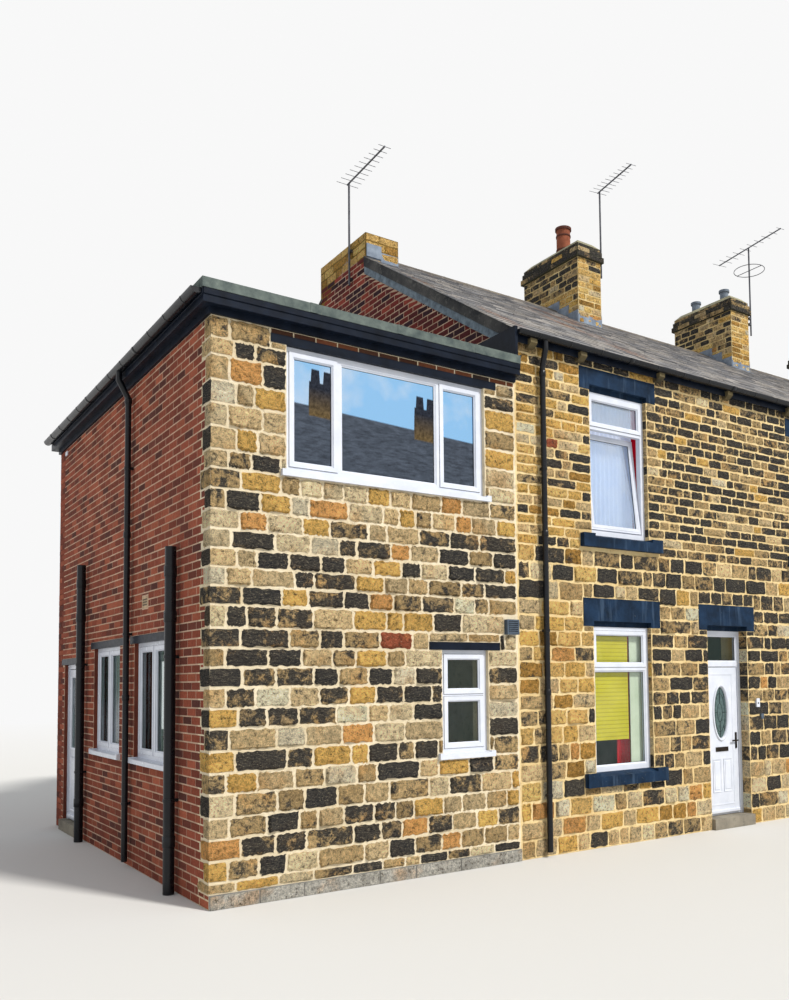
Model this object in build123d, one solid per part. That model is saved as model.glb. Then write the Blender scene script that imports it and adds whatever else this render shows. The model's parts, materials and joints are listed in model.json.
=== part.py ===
from build123d import *
import math
import os

# A row of stone-fronted terraced houses with a flat-roofed extension at its left end.
# Millimetres. While it is modelled, X runs along the street front from the extension's outer
# corner, Y runs back from the front face, and Z runs up from the ground. The finished row is
# then moved so that its origin lies at the bottom centre of its bounding box.

# Extension: plan, heights and wall
EXT_WIDTH = 3600
EXT_DEPTH = 6320
EXT_WALL = 300
EXT_WALL_TOP = 5560

# Houses: plan and walls
HOUSE_COUNT = 3
HOUSE_PITCH = 4140
HOUSE_DEPTH = 8070
STONE_WALL = 450
GABLE_WALL = 450
PARTY_WALL = 340
FIRST_PARTY_START = 4390

# Floors
FLOOR_LEVEL = 142
UPPER_FLOOR_TOP = 3020
UPPER_FLOOR_THICK = 220

# Pitched roof
ROOF_PITCH = 32.5
EAVES_Z = 6110
ROOF_THICK = 110
EAVES_OVERHANG = 70
VERGE_OVERHANG = 35
VERGE_STRIP = 90
VERGE_THICK = 18
RIDGE_LEG = 190
RIDGE_THICK = 22

# Flat roof
DECK_THICK = 100
DECK_OVERHANG = 90
FASCIA_THICK = 25
SOFFIT_THICK = 30
FRIEZE_HEIGHT = 60
FRIEZE_THICK = 30
KERB_HEIGHT = 95
KERB_WIDTH = 110
KERB_PROUD = 15

# Windows and lintels of the houses. Starts are measured from the extension's end.
WINDOW_START = 1185
WINDOW_WIDTH = 1005
WINDOW_RECESS = 65
UPPER_SILL_Z = 3807
UPPER_HEAD_Z = 5608
LOWER_SILL_Z = 896
LOWER_HEAD_Z = 2673
UPPER_TRANSOM = 440
LOWER_TRANSOM = 510
LINTEL_BEARING = 165
LINTEL_DEPTH = 150
LINTEL_PROUD = 8
LINTEL_RISE = 65
UPPER_LINTEL_HEIGHT = 272
LOWER_LINTEL_HEIGHT = 345
SILL_SIDE = 190
SILL_HEIGHT = 165
SILL_PROUD = 70

# Doors
DOOR_START = 3278
DOOR_WIDTH = 839
DOOR_HEAD_Z = 2673
DOOR_RECESS = 136
DOOR_TRANSOM_Z = 2180
DOOR_TRANSOM_HEIGHT = 65
LEAF_THICK = 60
LEAF_GAP = 10
HINGE_RADIUS = 8
HINGE_OFFSET = 9
KNUCKLE_HEIGHT = 45
KNUCKLE_GAP = 0.3
FLAP_WIDTH = 34
FLAP_THICK = 4
HINGE_HEIGHTS = (200, 960, 1720)
THRESHOLD_PROUD = 60
HANDLE_HEIGHT = 1010
HANDLE_INSET = 45
HANDLE_PLATE = (32, 10, 220)
LEVER = (120, 14, 20)
LEVER_STEM = 18
LEVER_STAND = 42
OVAL_RADII = (143, 360)
OVAL_Z = 1403
LETTERBOX = (260, 8, 60)
LETTERBOX_Z = 900
SIDE_LIGHT_MARGIN = 110
SIDE_LIGHT_Z = 1000

# Window and door frames
FRAME_WIDTH = 62
FRAME_DEPTH = 70
BAR_WIDTH = 58
GLASS_THICK = 24

# One upper sash that stands open, tilted in at its top
SASH_TILT = 6
SASH_GAP = 6
SASH_BAR = 55
SASH_THICK = 60
SASH_FOOT_GAP = 16
PIVOT_HEIGHT = 40

# Blinds and curtains of the first house: spans along the wall and heights, measured from the
# corner of the window's hole. The curtains hang from rods across the reveal.
YELLOW_BLIND = (66, 720, 374, 1740)
PALE_BLIND = (732, 940, 40, 1740)
BLIND_THICK = 5
RED_LOWER_CURTAIN = (625, 865, 24, 1716)
NET_CURTAIN = (14, 795, 24, 1755)
RED_UPPER_CURTAIN = (810, 992, 24, 1755)
CURTAIN_THICK = 4
CURTAIN_Y = 300
CURTAIN_ROD_RADIUS = 8

# Extension windows, measured along the wall that holds them. Those of the side wall start at
# shares of its length, and its door is measured from the back.
BIG_WINDOW_ENDS = (755, 442)
BIG_WINDOW_Z = (4096, 5332)
BIG_LIGHT_ENDS = (1343, 1035)
SMALL_WINDOW_FROM_END = (1046, 428)
SMALL_WINDOW_Z = (1259, 2364)
SMALL_TRANSOM_Z = 1875
EXT_RECESS = 45
EXT_LINTEL_HEIGHT = 85
EXT_LINTEL_BEARING = 165
EXT_SILL_HEIGHT = 65
EXT_SILL_SIDE = 60
EXT_SILL_PROUD = 45
SIDE_WINDOW_Z = (1221, 2490)
SIDE_WINDOW_WIDTH = 1199
SIDE_WINDOW_SHARES = (0.1897, 0.4744)
SIDE_DOOR_WIDTH = 926
SIDE_DOOR_FROM_BACK = 434
SIDE_DOOR_HEAD_Z = 2318

# Plinth along the foot of the extension's front
PLINTH_HEIGHT = 130
PLINTH_PROUD = 20

# Gutters and pipes
GUTTER_RADIUS = 56
GUTTER_THICK = 4
DOWNPIPE_RADIUS = 34
SOIL_PIPE_RADIUS = 55
PIPE_GAP = 30
MAIN_GUTTER_Z = 6060
SIDE_PIPE_GAP = 109
FRONT_PIPE_START = 380
SOIL_PIPE_GAP = 327
SOIL_PIPE_TOPS = (3390, 3610)
SWAN_START = 90
SWAN_END = 290
SWAN_BEND = 60
PIPE_FOOT_Z = 60
PIPE_FIT = 0.3
BRACKET_THICK = 6
BRACKET_HEIGHT = 30
DOWNPIPE_BRACKETS = (700, 2600, 4500)
SOIL_BRACKETS = (900, 2300)
CORBELS_PER_HOUSE = 3
FIRST_CORBEL = 160
CORBEL_START = 950
CORBEL_HEIGHT = 100
CORBEL_WIDTH = 100

# Boards on the gable: one along each slope, and one that closes the eaves over the flat roof
VERGE_BOARD_DEPTH = 95
VERGE_BOARD_THICK = 25
EAVES_BOARD_THICK = 40
EAVES_BOARD_LENGTH = 800
EAVES_BOARD_DROP = 10

# Chimneys
STACK_WIDTH = 545
STACK_LENGTH = 1470
PARTY_STACK_RISE = 960
GABLE_STACK_WIDTH = 567
GABLE_STACK_RISE = 40
GABLE_STACK_BACK = 170
CAP_PROUD = 45
CAP_HEIGHT = 255
CAP_COURSE = 95
FLAUNCH_HEIGHT = 100
FLAUNCH_TAPER = 45
POT_RADIUS = 125
POT_HEIGHT = 480
SHORT_POT_RADIUS = 85
SHORT_POT_HEIGHT = 230
POT_WALL = 22
POT_FORWARD = 75
FLASHING_THICK = 6
FLASHING_HEIGHT = 150

# Aerials: each mast's place behind the ridge, its foot and top and its brackets above the top
# of its stack, and how far its boom reaches back and to the street
MAST_RADIUS = 16
MAST_STAND_OFF = 52
MAST_CAP_GAP = 6
MAST_BRACKET = 40
GABLE_MAST = (-155, -680, 920)
GABLE_BOOM = (60, 1150)
GABLE_TURN = -2
GABLE_BRACKETS = (-600, -160)
PARTY_MASTS = ((-685, -480, 1110), (-745, -660, 1180))
PARTY_BOOMS = ((60, 960), (880, 890))
PARTY_TURN = -10
PARTY_BRACKETS = (-450, -330)
BOOM_SIZE = 18
ELEMENT_COUNT = 10
ELEMENT_RADIUS = 4
LONGEST_ELEMENT = 360
ELEMENT_TAPER = 18
HALO_RADIUS = 300
HALO_TUBE = 7
HALO_DROP = 480

# Boxes on the front walls: span from the extension's end, depth and height span
WALL_BOXES = [((-194, -24), 60, (2544, 2714)),
              ((4260, 4330), 30, (1610, 1730)),
              ((4355, 4415), 30, (1440, 1515))]

# Values that follow from the dimensions above
TAN_PITCH = math.tan(math.radians(ROOF_PITCH))
COS_PITCH = math.cos(math.radians(ROOF_PITCH))
RIDGE_Y = HOUSE_DEPTH / 2
ROOF_DROP = ROOF_THICK / COS_PITCH
RIDGE_Z = EAVES_Z + RIDGE_Y * TAN_PITCH
PARTY_STACK_TOP = RIDGE_Z + PARTY_STACK_RISE
GABLE_STACK_TOP = RIDGE_Z + GABLE_STACK_RISE
FIRST_PARTY_X = EXT_WIDTH + FIRST_PARTY_START
WINDOW_X = EXT_WIDTH + WINDOW_START
DOOR_X = EXT_WIDTH + DOOR_START
FRONT_PIPE_X = EXT_WIDTH + FRONT_PIPE_START
ROW_END_X = FIRST_PARTY_X + (HOUSE_COUNT - 1) * HOUSE_PITCH + PARTY_WALL / 2
PARTY_XS = [FIRST_PARTY_X + n * HOUSE_PITCH for n in range(HOUSE_COUNT)]
HOUSE_SHIFTS = [n * HOUSE_PITCH for n in range(HOUSE_COUNT)]
BIG_WINDOW = (BIG_WINDOW_ENDS[0], EXT_WIDTH - BIG_WINDOW_ENDS[1], *BIG_WINDOW_Z)
BIG_MULLIONS = (BIG_LIGHT_ENDS[0], EXT_WIDTH - BIG_LIGHT_ENDS[1])
SMALL_WINDOW = (*[EXT_WIDTH - end for end in SMALL_WINDOW_FROM_END], *SMALL_WINDOW_Z)
SIDE_WINDOWS = [(share * EXT_DEPTH, share * EXT_DEPTH + SIDE_WINDOW_WIDTH)
                for share in SIDE_WINDOW_SHARES]
SIDE_DOOR = (EXT_DEPTH - SIDE_DOOR_FROM_BACK - SIDE_DOOR_WIDTH, EXT_DEPTH - SIDE_DOOR_FROM_BACK)
SIDE_PIPE_Y = SIDE_WINDOWS[0][1] + SIDE_PIPE_GAP
SOIL_PIPES = [(SIDE_WINDOWS[0][0] - SOIL_PIPE_GAP, SOIL_PIPE_TOPS[0]),
              ((SIDE_WINDOWS[1][1] + SIDE_DOOR[0]) / 2, SOIL_PIPE_TOPS[1])]

# Turns a piece made for the front wall so that it sits in the wall that faces another way
FRONT_FACE = Location((0, 0, 0))
SIDE_FACE = Rot(0, 0, -90)
BACK_FACE = Pos(0, HOUSE_DEPTH, 0) * Rot(0, 0, 180)
EXT_BACK_FACE = Pos(0, EXT_DEPTH, 0) * Rot(0, 0, 180)


def block(x0, x1, y0, y1, z0, z1):
    """A box between two corners."""
    size = (x1 - x0, y1 - y0, z1 - z0)
    return Pos((x0 + x1) / 2, (y0 + y1) / 2, (z0 + z1) / 2) * Box(*size)


def roof_z(y):
    """Height of the outer roof surface at a depth y."""
    return EAVES_Z + min(y, HOUSE_DEPTH - y) * TAN_PITCH


def under_roof_z(y):
    return roof_z(y) - ROOF_DROP


def profile_along_x(points, x0, x1):
    """A straight piece with a closed outline in the Y-Z plane, from x0 to x1."""
    outline = Polyline(*[(x0, y, z) for y, z in points], close=True)
    return extrude(make_face(outline), amount=x1 - x0, dir=(1, 0, 0))


def hole_block(hole, wall):
    x0, x1, z0, z1 = hole
    return block(x0, x1, -wall, 2 * wall, z0, z1)


def lintel_block(hole, height, bearing, depth=LINTEL_DEPTH):
    x0, x1, _, z1 = hole
    return block(x0 - bearing, x1 + bearing, -LINTEL_PROUD, depth, z1, z1 + height)


def shoulder(lintel, hole, recess):
    """Raise the lintel's underside over the opening, in front of the frame."""
    x0, x1, _, z1 = hole
    return lintel - block(x0, x1, -2 * LINTEL_PROUD, recess, z1, z1 + LINTEL_RISE)


def sill_block(hole, height, side, proud, recess):
    """The whole stone or board of a sill, which is also the pocket that it fills."""
    x0, x1, z0, _ = hole
    return block(x0 - side, x1 + side, -proud, recess, z0 - height, z0)


def weather(sill, hole, height, proud, recess):
    """Slope the sill's top towards the street between its two flat end stools."""
    x0, x1, z0, _ = hole
    fall = height / 4
    front = -2 * proud
    low = z0 - fall * (recess - front) / (recess + proud)
    wedge = [(recess, z0), (recess, z0 + fall), (front, z0 + fall), (front, low)]
    return sill - profile_along_x(wedge, x0, x1)


def grid_lights(hole, mullions, transoms):
    """The clear openings between the bars of a window frame."""
    x0, x1, z0, z1 = hole
    half = BAR_WIDTH / 2
    xs = [x0 + FRAME_WIDTH] + [v for m in mullions for v in (m - half, m + half)] + [x1 - FRAME_WIDTH]
    zs = [z0 + FRAME_WIDTH] + [v for t in transoms for v in (t - half, t + half)] + [z1 - FRAME_WIDTH]
    return [(xs[i], xs[i + 1], zs[j], zs[j + 1])
            for i in range(0, len(xs), 2) for j in range(0, len(zs), 2)]


def window_frame(hole, recess, mullions=(), transoms=()):
    x0, x1, z0, z1 = hole
    frame = block(x0, x1, recess, recess + FRAME_DEPTH, z0, z1)
    for a, b, c, d in grid_lights(hole, mullions, transoms):
        frame -= block(a, b, 0, 2 * FRAME_DEPTH + recess, c, d)
    return frame


def window_panes(hole, recess, mullions=(), transoms=()):
    middle = recess + FRAME_DEPTH / 2
    half = GLASS_THICK / 2
    return [block(a, b, middle - half, middle + half, c, d)
            for a, b, c, d in grid_lights(hole, mullions, transoms)]


def house_holes(shift):
    """Window and door holes in one house's front wall."""
    x0 = WINDOW_X + shift
    x1 = x0 + WINDOW_WIDTH
    door = (DOOR_X + shift, DOOR_X + shift + DOOR_WIDTH, FLOOR_LEVEL, DOOR_HEAD_Z)
    return {"upper": (x0, x1, UPPER_SILL_Z, UPPER_HEAD_Z),
            "lower": (x0, x1, LOWER_SILL_Z, LOWER_HEAD_Z),
            "door": door}


def back_holes(shift):
    """The same holes in the back wall, in the turned wall's own X."""
    turned = {}
    for name, (x0, x1, z0, z1) in house_holes(shift).items():
        turned[name] = (-x1, -x0, z0, z1)
    return turned


def side_hole(span, z0, z1):
    """A hole in the extension's side wall, in the turned wall's own X."""
    return (-span[1], -span[0], z0, z1)


SIDE_HOLES = {
    "a": side_hole(SIDE_WINDOWS[0], *SIDE_WINDOW_Z),
    "b": side_hole(SIDE_WINDOWS[1], *SIDE_WINDOW_Z),
    "door": side_hole(SIDE_DOOR, FLOOR_LEVEL, SIDE_DOOR_HEAD_Z),
}
EXT_BACK_WINDOW_X = (-EXT_WIDTH * 2 / 3, -EXT_WIDTH / 3)
EXT_BACK_HOLES = {
    "lower": (*EXT_BACK_WINDOW_X, *SIDE_WINDOW_Z),
    "upper": (*EXT_BACK_WINDOW_X, BIG_WINDOW[2], BIG_WINDOW[3]),
}


def transom_z(name, hole):
    drop = UPPER_TRANSOM if name == "upper" else LOWER_TRANSOM
    return hole[3] - drop


def make_lintels():
    """The lintels of the houses, and the pockets that they fill."""
    lintels, pockets = [], []
    for shift in HOUSE_SHIFTS:
        for face, holes in ((FRONT_FACE, house_holes(shift)), (BACK_FACE, back_holes(shift))):
            for name, hole in holes.items():
                height = UPPER_LINTEL_HEIGHT if name == "upper" else LOWER_LINTEL_HEIGHT
                recess = DOOR_RECESS if name == "door" else WINDOW_RECESS
                pocket = lintel_block(hole, height, LINTEL_BEARING)
                pockets.append(face * pocket)
                lintels.append(face * shoulder(pocket, hole, recess))
    return lintels, pockets


def make_ext_lintels():
    lintels = []
    for face, holes in ((FRONT_FACE, (BIG_WINDOW, SMALL_WINDOW)),
                        (SIDE_FACE, SIDE_HOLES.values()),
                        (EXT_BACK_FACE, EXT_BACK_HOLES.values())):
        for hole in holes:
            lintels.append(face * lintel_block(hole, EXT_LINTEL_HEIGHT, EXT_LINTEL_BEARING))
    return lintels


def make_sills():
    """The sills of the houses, and the pockets that they fill."""
    sills, pockets = [], []
    for shift in HOUSE_SHIFTS:
        for face, holes in ((FRONT_FACE, house_holes(shift)), (BACK_FACE, back_holes(shift))):
            for name in ("upper", "lower"):
                hole = holes[name]
                pocket = sill_block(hole, SILL_HEIGHT, SILL_SIDE, SILL_PROUD, WINDOW_RECESS)
                pockets.append(face * pocket)
                sills.append(face * weather(pocket, hole, SILL_HEIGHT, SILL_PROUD, WINDOW_RECESS))
    return sills, pockets


def make_ext_sills():
    """The sills of the extension, and the pockets that they fill."""
    sills, pockets = [], []
    for face, holes in ((FRONT_FACE, (BIG_WINDOW, SMALL_WINDOW)),
                        (SIDE_FACE, (SIDE_HOLES["a"], SIDE_HOLES["b"])),
                        (EXT_BACK_FACE, EXT_BACK_HOLES.values())):
        for hole in holes:
            pocket = sill_block(hole, EXT_SILL_HEIGHT, EXT_SILL_SIDE, EXT_SILL_PROUD, EXT_RECESS)
            pockets.append(face * pocket)
            sills.append(face * weather(pocket, hole, EXT_SILL_HEIGHT, EXT_SILL_PROUD, EXT_RECESS))
    return sills, pockets


def make_house_windows():
    """Frames and panes of the houses. The first upper window has no lower pane, only a sash."""
    frames, panes = [], []
    for shift in HOUSE_SHIFTS:
        for face, holes in ((FRONT_FACE, house_holes(shift)), (BACK_FACE, back_holes(shift))):
            for name in ("upper", "lower"):
                hole = holes[name]
                bars = (transom_z(name, hole),)
                frames.append(face * window_frame(hole, WINDOW_RECESS, transoms=bars))
                panes += [face * p for p in window_panes(hole, WINDOW_RECESS, transoms=bars)]
    return frames, panes[1:]


def make_tilted_sash():
    """The sash in the first house's upper window and its pane, tilted about the sash's foot."""
    hole = house_holes(0)["upper"]
    x0, x1, z0, z1 = grid_lights(hole, (), (transom_z("upper", hole),))[0]
    width = x1 - x0 - 2 * SASH_GAP
    height = z1 - z0 - SASH_GAP - SASH_FOOT_GAP
    place = Pos(x0 + SASH_GAP, WINDOW_RECESS + SASH_GAP, z0 + SASH_FOOT_GAP) * Rot(-SASH_TILT, 0, 0)
    light = (SASH_BAR, width - SASH_BAR, SASH_BAR, height - SASH_BAR)
    sash = block(0, width, 0, SASH_THICK, 0, height)
    sash += block(-SASH_GAP, width + SASH_GAP, SASH_THICK / 3, SASH_THICK / 2,
                  SASH_BAR - PIVOT_HEIGHT, SASH_BAR)
    sash -= block(light[0], light[1], -SASH_THICK, 2 * SASH_THICK, light[2], light[3])
    middle = SASH_THICK / 2
    pane = block(light[0], light[1], middle - GLASS_THICK / 2, middle + GLASS_THICK / 2,
                 light[2], light[3])
    return place * sash, place * pane


def hung_cloth(hole, span, y0, thick):
    """A flat cloth in a window's hole, with its span and heights measured from the hole's foot."""
    left, right, low, high = span
    return block(hole[0] + left, hole[0] + right, y0, y0 + thick, hole[2] + low, hole[2] + high)


def make_curtains():
    """Blinds against the lower window's frame, and curtains on rods in both windows."""
    holes = house_holes(0)
    frame_y = WINDOW_RECESS + FRAME_DEPTH
    cloth_y = CURTAIN_Y - CURTAIN_ROD_RADIUS - CURTAIN_THICK
    blinds = [hung_cloth(holes["lower"], span, frame_y, BLIND_THICK)
              for span in (YELLOW_BLIND, PALE_BLIND)]
    curtains = [hung_cloth(holes[name], span, cloth_y, CURTAIN_THICK)
                for name, span in (("lower", RED_LOWER_CURTAIN), ("upper", NET_CURTAIN),
                                   ("upper", RED_UPPER_CURTAIN))]
    rods = []
    for name, span in (("lower", RED_LOWER_CURTAIN), ("upper", NET_CURTAIN)):
        hole = holes[name]
        z = hole[2] + span[3] - CURTAIN_ROD_RADIUS
        rod = Cylinder(CURTAIN_ROD_RADIUS, WINDOW_WIDTH, rotation=(0, 90, 0))
        rods.append(Pos((hole[0] + hole[1]) / 2, CURTAIN_Y, z) * rod)
    return blinds, curtains, rods


def make_ext_windows():
    plans = [(FRONT_FACE, BIG_WINDOW, BIG_MULLIONS, ()),
             (FRONT_FACE, SMALL_WINDOW, (), (SMALL_TRANSOM_Z,))]
    plans += [(SIDE_FACE, SIDE_HOLES[k], (sum(SIDE_HOLES[k][:2]) / 2,), ()) for k in ("a", "b")]
    plans += [(EXT_BACK_FACE, hole, (sum(hole[:2]) / 2,), ()) for hole in EXT_BACK_HOLES.values()]
    frames, panes = [], []
    for face, hole, mullions, transoms in plans:
        frames.append(face * window_frame(hole, EXT_RECESS, mullions, transoms))
        panes += [face * p for p in window_panes(hole, EXT_RECESS, mullions, transoms)]
    return frames, panes


def cut_all(solid, tools):
    for tool in tools:
        solid -= tool
    return solid


def make_ext_walls(lintels, sills):
    """The extension's walls. The side wall is in three pieces round its door."""
    back_y = EXT_DEPTH - EXT_WALL
    front = block(0, EXT_WIDTH, 0, EXT_WALL, 0, EXT_WALL_TOP)
    front = cut_all(front, [hole_block(h, EXT_WALL) for h in (BIG_WINDOW, SMALL_WINDOW)])
    back = block(0, EXT_WIDTH, back_y, EXT_DEPTH, 0, EXT_WALL_TOP)
    back = cut_all(back, [EXT_BACK_FACE * hole_block(h, EXT_WALL) for h in EXT_BACK_HOLES.values()])
    side = block(0, EXT_WALL, EXT_WALL, SIDE_DOOR[0], 0, EXT_WALL_TOP)
    side = cut_all(side, [SIDE_FACE * hole_block(SIDE_HOLES[k], EXT_WALL) for k in ("a", "b")])
    over = block(0, EXT_WALL, SIDE_DOOR[0], SIDE_DOOR[1], SIDE_DOOR_HEAD_Z, EXT_WALL_TOP)
    pier = block(0, EXT_WALL, SIDE_DOOR[1], back_y, 0, EXT_WALL_TOP)
    walls = {"extension_front_wall": front, "extension_back_wall": back,
             "extension_side_wall": side, "extension_side_wall_over_door": over,
             "extension_side_pier": pier}
    return {name: cut_all(wall, lintels + sills) for name, wall in walls.items()}


def wall_outline(y0, y1):
    """A wall's upright outline with its top against the underside of the front roof slope."""
    return [(y0, 0), (y1, 0), (y1, under_roof_z(y1)), (y0, under_roof_z(y0))]


def make_house_walls(lintels, sills):
    """Front wall in three pieces round the first house's door, and the back wall."""
    door_x1 = DOOR_X + DOOR_WIDTH
    front = profile_along_x(wall_outline(0, STONE_WALL), EXT_WIDTH, ROW_END_X)
    back = profile_along_x(wall_outline(HOUSE_DEPTH - STONE_WALL, HOUSE_DEPTH), EXT_WIDTH, ROW_END_X)
    for shift in HOUSE_SHIFTS:
        front = cut_all(front, [hole_block(h, STONE_WALL) for h in house_holes(shift).values()])
        back = cut_all(back, [BACK_FACE * hole_block(h, STONE_WALL)
                              for h in back_holes(shift).values()])
    front = cut_all(front, lintels + sills)
    back = cut_all(back, lintels + sills)
    left = block(EXT_WIDTH, DOOR_X, -STONE_WALL, 2 * STONE_WALL, 0, RIDGE_Z)
    right = block(door_x1, ROW_END_X, -STONE_WALL, 2 * STONE_WALL, 0, RIDGE_Z)
    over = block(DOOR_X, door_x1, -STONE_WALL, 2 * STONE_WALL, DOOR_HEAD_Z, RIDGE_Z)
    steps = house_steps()
    return {"front_wall_left": front & left,
            "front_wall_over_door": front & over,
            "front_wall_right": cut_all(front & right, steps),
            "back_wall": cut_all(back, steps)}


def house_steps():
    """Stone steps in every doorway of the houses, which fill the wall under the doors."""
    steps = []
    for shift in HOUSE_SHIFTS:
        for face, holes in ((FRONT_FACE, house_holes(shift)), (BACK_FACE, back_holes(shift))):
            x0, x1 = holes["door"][:2]
            steps.append(face * block(x0, x1, -THRESHOLD_PROUD, STONE_WALL, 0, FLOOR_LEVEL))
    return steps


def make_thresholds():
    x0, x1 = SIDE_HOLES["door"][:2]
    side = SIDE_FACE * block(x0, x1, -THRESHOLD_PROUD, EXT_WALL, 0, FLOOR_LEVEL)
    return house_steps() + [side]


def gable_outline():
    """Outline of a cross wall between the front and back walls, up to the roof's underside."""
    y0 = STONE_WALL
    y1 = HOUSE_DEPTH - STONE_WALL
    return [(y0, 0), (y1, 0), (y1, under_roof_z(y1)), (RIDGE_Y, under_roof_z(RIDGE_Y)),
            (y0, under_roof_z(y0))]


def make_cross_walls():
    gable = profile_along_x(gable_outline(), EXT_WIDTH, EXT_WIDTH + GABLE_WALL)
    half = PARTY_WALL / 2
    parties = [profile_along_x(gable_outline(), x - half, x + half) for x in PARTY_XS]
    return gable, parties


def make_floors():
    """Ground and upper floors between the walls of the extension and of each house."""
    ground_z = (0, FLOOR_LEVEL)
    upper_z = (UPPER_FLOOR_TOP - UPPER_FLOOR_THICK, UPPER_FLOOR_TOP)
    ext = [block(EXT_WALL, EXT_WIDTH, EXT_WALL, EXT_DEPTH - EXT_WALL, *z) for z in (ground_z, upper_z)]
    starts = [EXT_WIDTH + GABLE_WALL] + [x + PARTY_WALL / 2 for x in PARTY_XS[:-1]]
    ends = [x - PARTY_WALL / 2 for x in PARTY_XS]
    y0 = STONE_WALL
    y1 = HOUSE_DEPTH - STONE_WALL
    ground = [block(a, b, y0, y1, *ground_z) for a, b in zip(starts, ends)]
    upper = [block(a, b, y0, y1, *upper_z) for a, b in zip(starts, ends)]
    return ext, ground, upper


def make_roof():
    """Two roof slopes that meet at the ridge, with the chimney stacks' holes through them."""
    front = [(-EAVES_OVERHANG, roof_z(-EAVES_OVERHANG)), (RIDGE_Y, RIDGE_Z),
             (RIDGE_Y, RIDGE_Z - ROOF_DROP), (-EAVES_OVERHANG, roof_z(-EAVES_OVERHANG) - ROOF_DROP)]
    back = [(HOUSE_DEPTH - y, z) for y, z in front]
    x0 = EXT_WIDTH - VERGE_OVERHANG
    slopes = {"roof_front_slope": profile_along_x(front, x0, ROW_END_X),
              "roof_back_slope": profile_along_x(back, x0, ROW_END_X)}
    past_verge = x0 - VERGE_OVERHANG
    y0, y1 = stack_depth(GABLE_STACK_BACK)
    shafts = [block(past_verge, EXT_WIDTH + GABLE_STACK_WIDTH, y0, y1, 0, PARTY_STACK_TOP)]
    y0, y1 = stack_depth()
    shafts += [block(a, b, y0, y1, 0, PARTY_STACK_TOP) for a, b in stack_spans()]
    return {name: cut_all(slope, shafts) for name, slope in slopes.items()}, shafts


def make_ridge(shafts):
    """An angle of ridge tiles bedded over the two slopes."""
    drop = RIDGE_LEG * TAN_PITCH
    rise = RIDGE_THICK / COS_PITCH
    outline = [(RIDGE_Y - RIDGE_LEG, RIDGE_Z - drop), (RIDGE_Y, RIDGE_Z),
               (RIDGE_Y + RIDGE_LEG, RIDGE_Z - drop), (RIDGE_Y + RIDGE_LEG, RIDGE_Z - drop + rise),
               (RIDGE_Y, RIDGE_Z + rise), (RIDGE_Y - RIDGE_LEG, RIDGE_Z - drop + rise)]
    ridge = profile_along_x(outline, EXT_WIDTH - VERGE_OVERHANG, ROW_END_X)
    return cut_all(ridge, shafts)


def stack_depth(back=0):
    """The Y span of a stack whose middle lies so far behind the ridge."""
    return RIDGE_Y + back - STACK_LENGTH / 2, RIDGE_Y + back + STACK_LENGTH / 2


def make_stack(x0, x1, top, capped, back=0):
    """A stack that stands on its cross wall's sloping top and rises through the roof."""
    y0, y1 = stack_depth(back)
    outline = [(y0, under_roof_z(y0)), (RIDGE_Y, under_roof_z(RIDGE_Y)), (y1, under_roof_z(y1)),
               (y1, top), (y0, top)]
    stack = profile_along_x(outline, x0, x1)
    if capped:
        z = top - CAP_HEIGHT
        for proud in (CAP_PROUD, CAP_PROUD / 2):
            stack += block(x0 - proud, x1 + proud, y0 - proud, y1 + proud, z, z + CAP_COURSE)
            z += CAP_COURSE
    return stack


def stack_spans():
    """The X spans of the stacks on the party walls, the last of them flush with the row's end."""
    half = STACK_WIDTH / 2
    spans = [(x - half, x + half) for x in PARTY_XS[:-1]]
    return spans + [(ROW_END_X - STACK_WIDTH, ROW_END_X)]


def make_stacks():
    gable = make_stack(EXT_WIDTH, EXT_WIDTH + GABLE_STACK_WIDTH, GABLE_STACK_TOP, False,
                       GABLE_STACK_BACK)
    return gable, [make_stack(a, b, PARTY_STACK_TOP, True) for a, b in stack_spans()]


def make_pot(x, y, radius, height):
    """A round clay pot with a rolled rim, on a stack's mortar."""
    upright = (Align.CENTER, Align.CENTER, Align.MIN)
    hanging = (Align.CENTER, Align.CENTER, Align.MAX)
    pot = Cylinder(radius, height, align=upright)
    pot += Pos(0, 0, height) * Cylinder(radius + POT_WALL, 2 * POT_WALL, align=hanging)
    pot -= Cylinder(radius - POT_WALL, height, align=upright)
    return Pos(x, y, PARTY_STACK_TOP + FLAUNCH_HEIGHT) * pot


def make_pots():
    """One tall pot on the first and last party stacks and two short ones between them."""
    middles = [(a + b) / 2 for a, b in stack_spans()]
    quarter = STACK_LENGTH / 4
    pots = [make_pot(x, RIDGE_Y - POT_FORWARD, POT_RADIUS, POT_HEIGHT)
            for x in (middles[0], middles[-1])]
    return pots + [make_pot(x, y, SHORT_POT_RADIUS, SHORT_POT_HEIGHT)
                   for x in middles[1:-1] for y in (RIDGE_Y - quarter, RIDGE_Y + quarter)]


def make_flaunching():
    """Sloped mortar on top of each party stack, under its pots."""
    mounds = []
    for a, b in stack_spans():
        foot = Pos((a + b) / 2, RIDGE_Y, PARTY_STACK_TOP) * Rectangle(b - a, STACK_LENGTH)
        mounds.append(extrude(foot, amount=FLAUNCH_HEIGHT, taper=FLAUNCH_TAPER))
    return mounds


def ring_of_three(outer, inner, z0, z1):
    """A strip round the extension's back, side and front, open where it meets the house."""
    ring = block(-outer, EXT_WIDTH, -outer, EXT_DEPTH + outer, z0, z1)
    ring -= block(-inner, EXT_WIDTH + 1, -inner, EXT_DEPTH + inner, z0 - 1, z1 + 1)
    return ring


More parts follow.
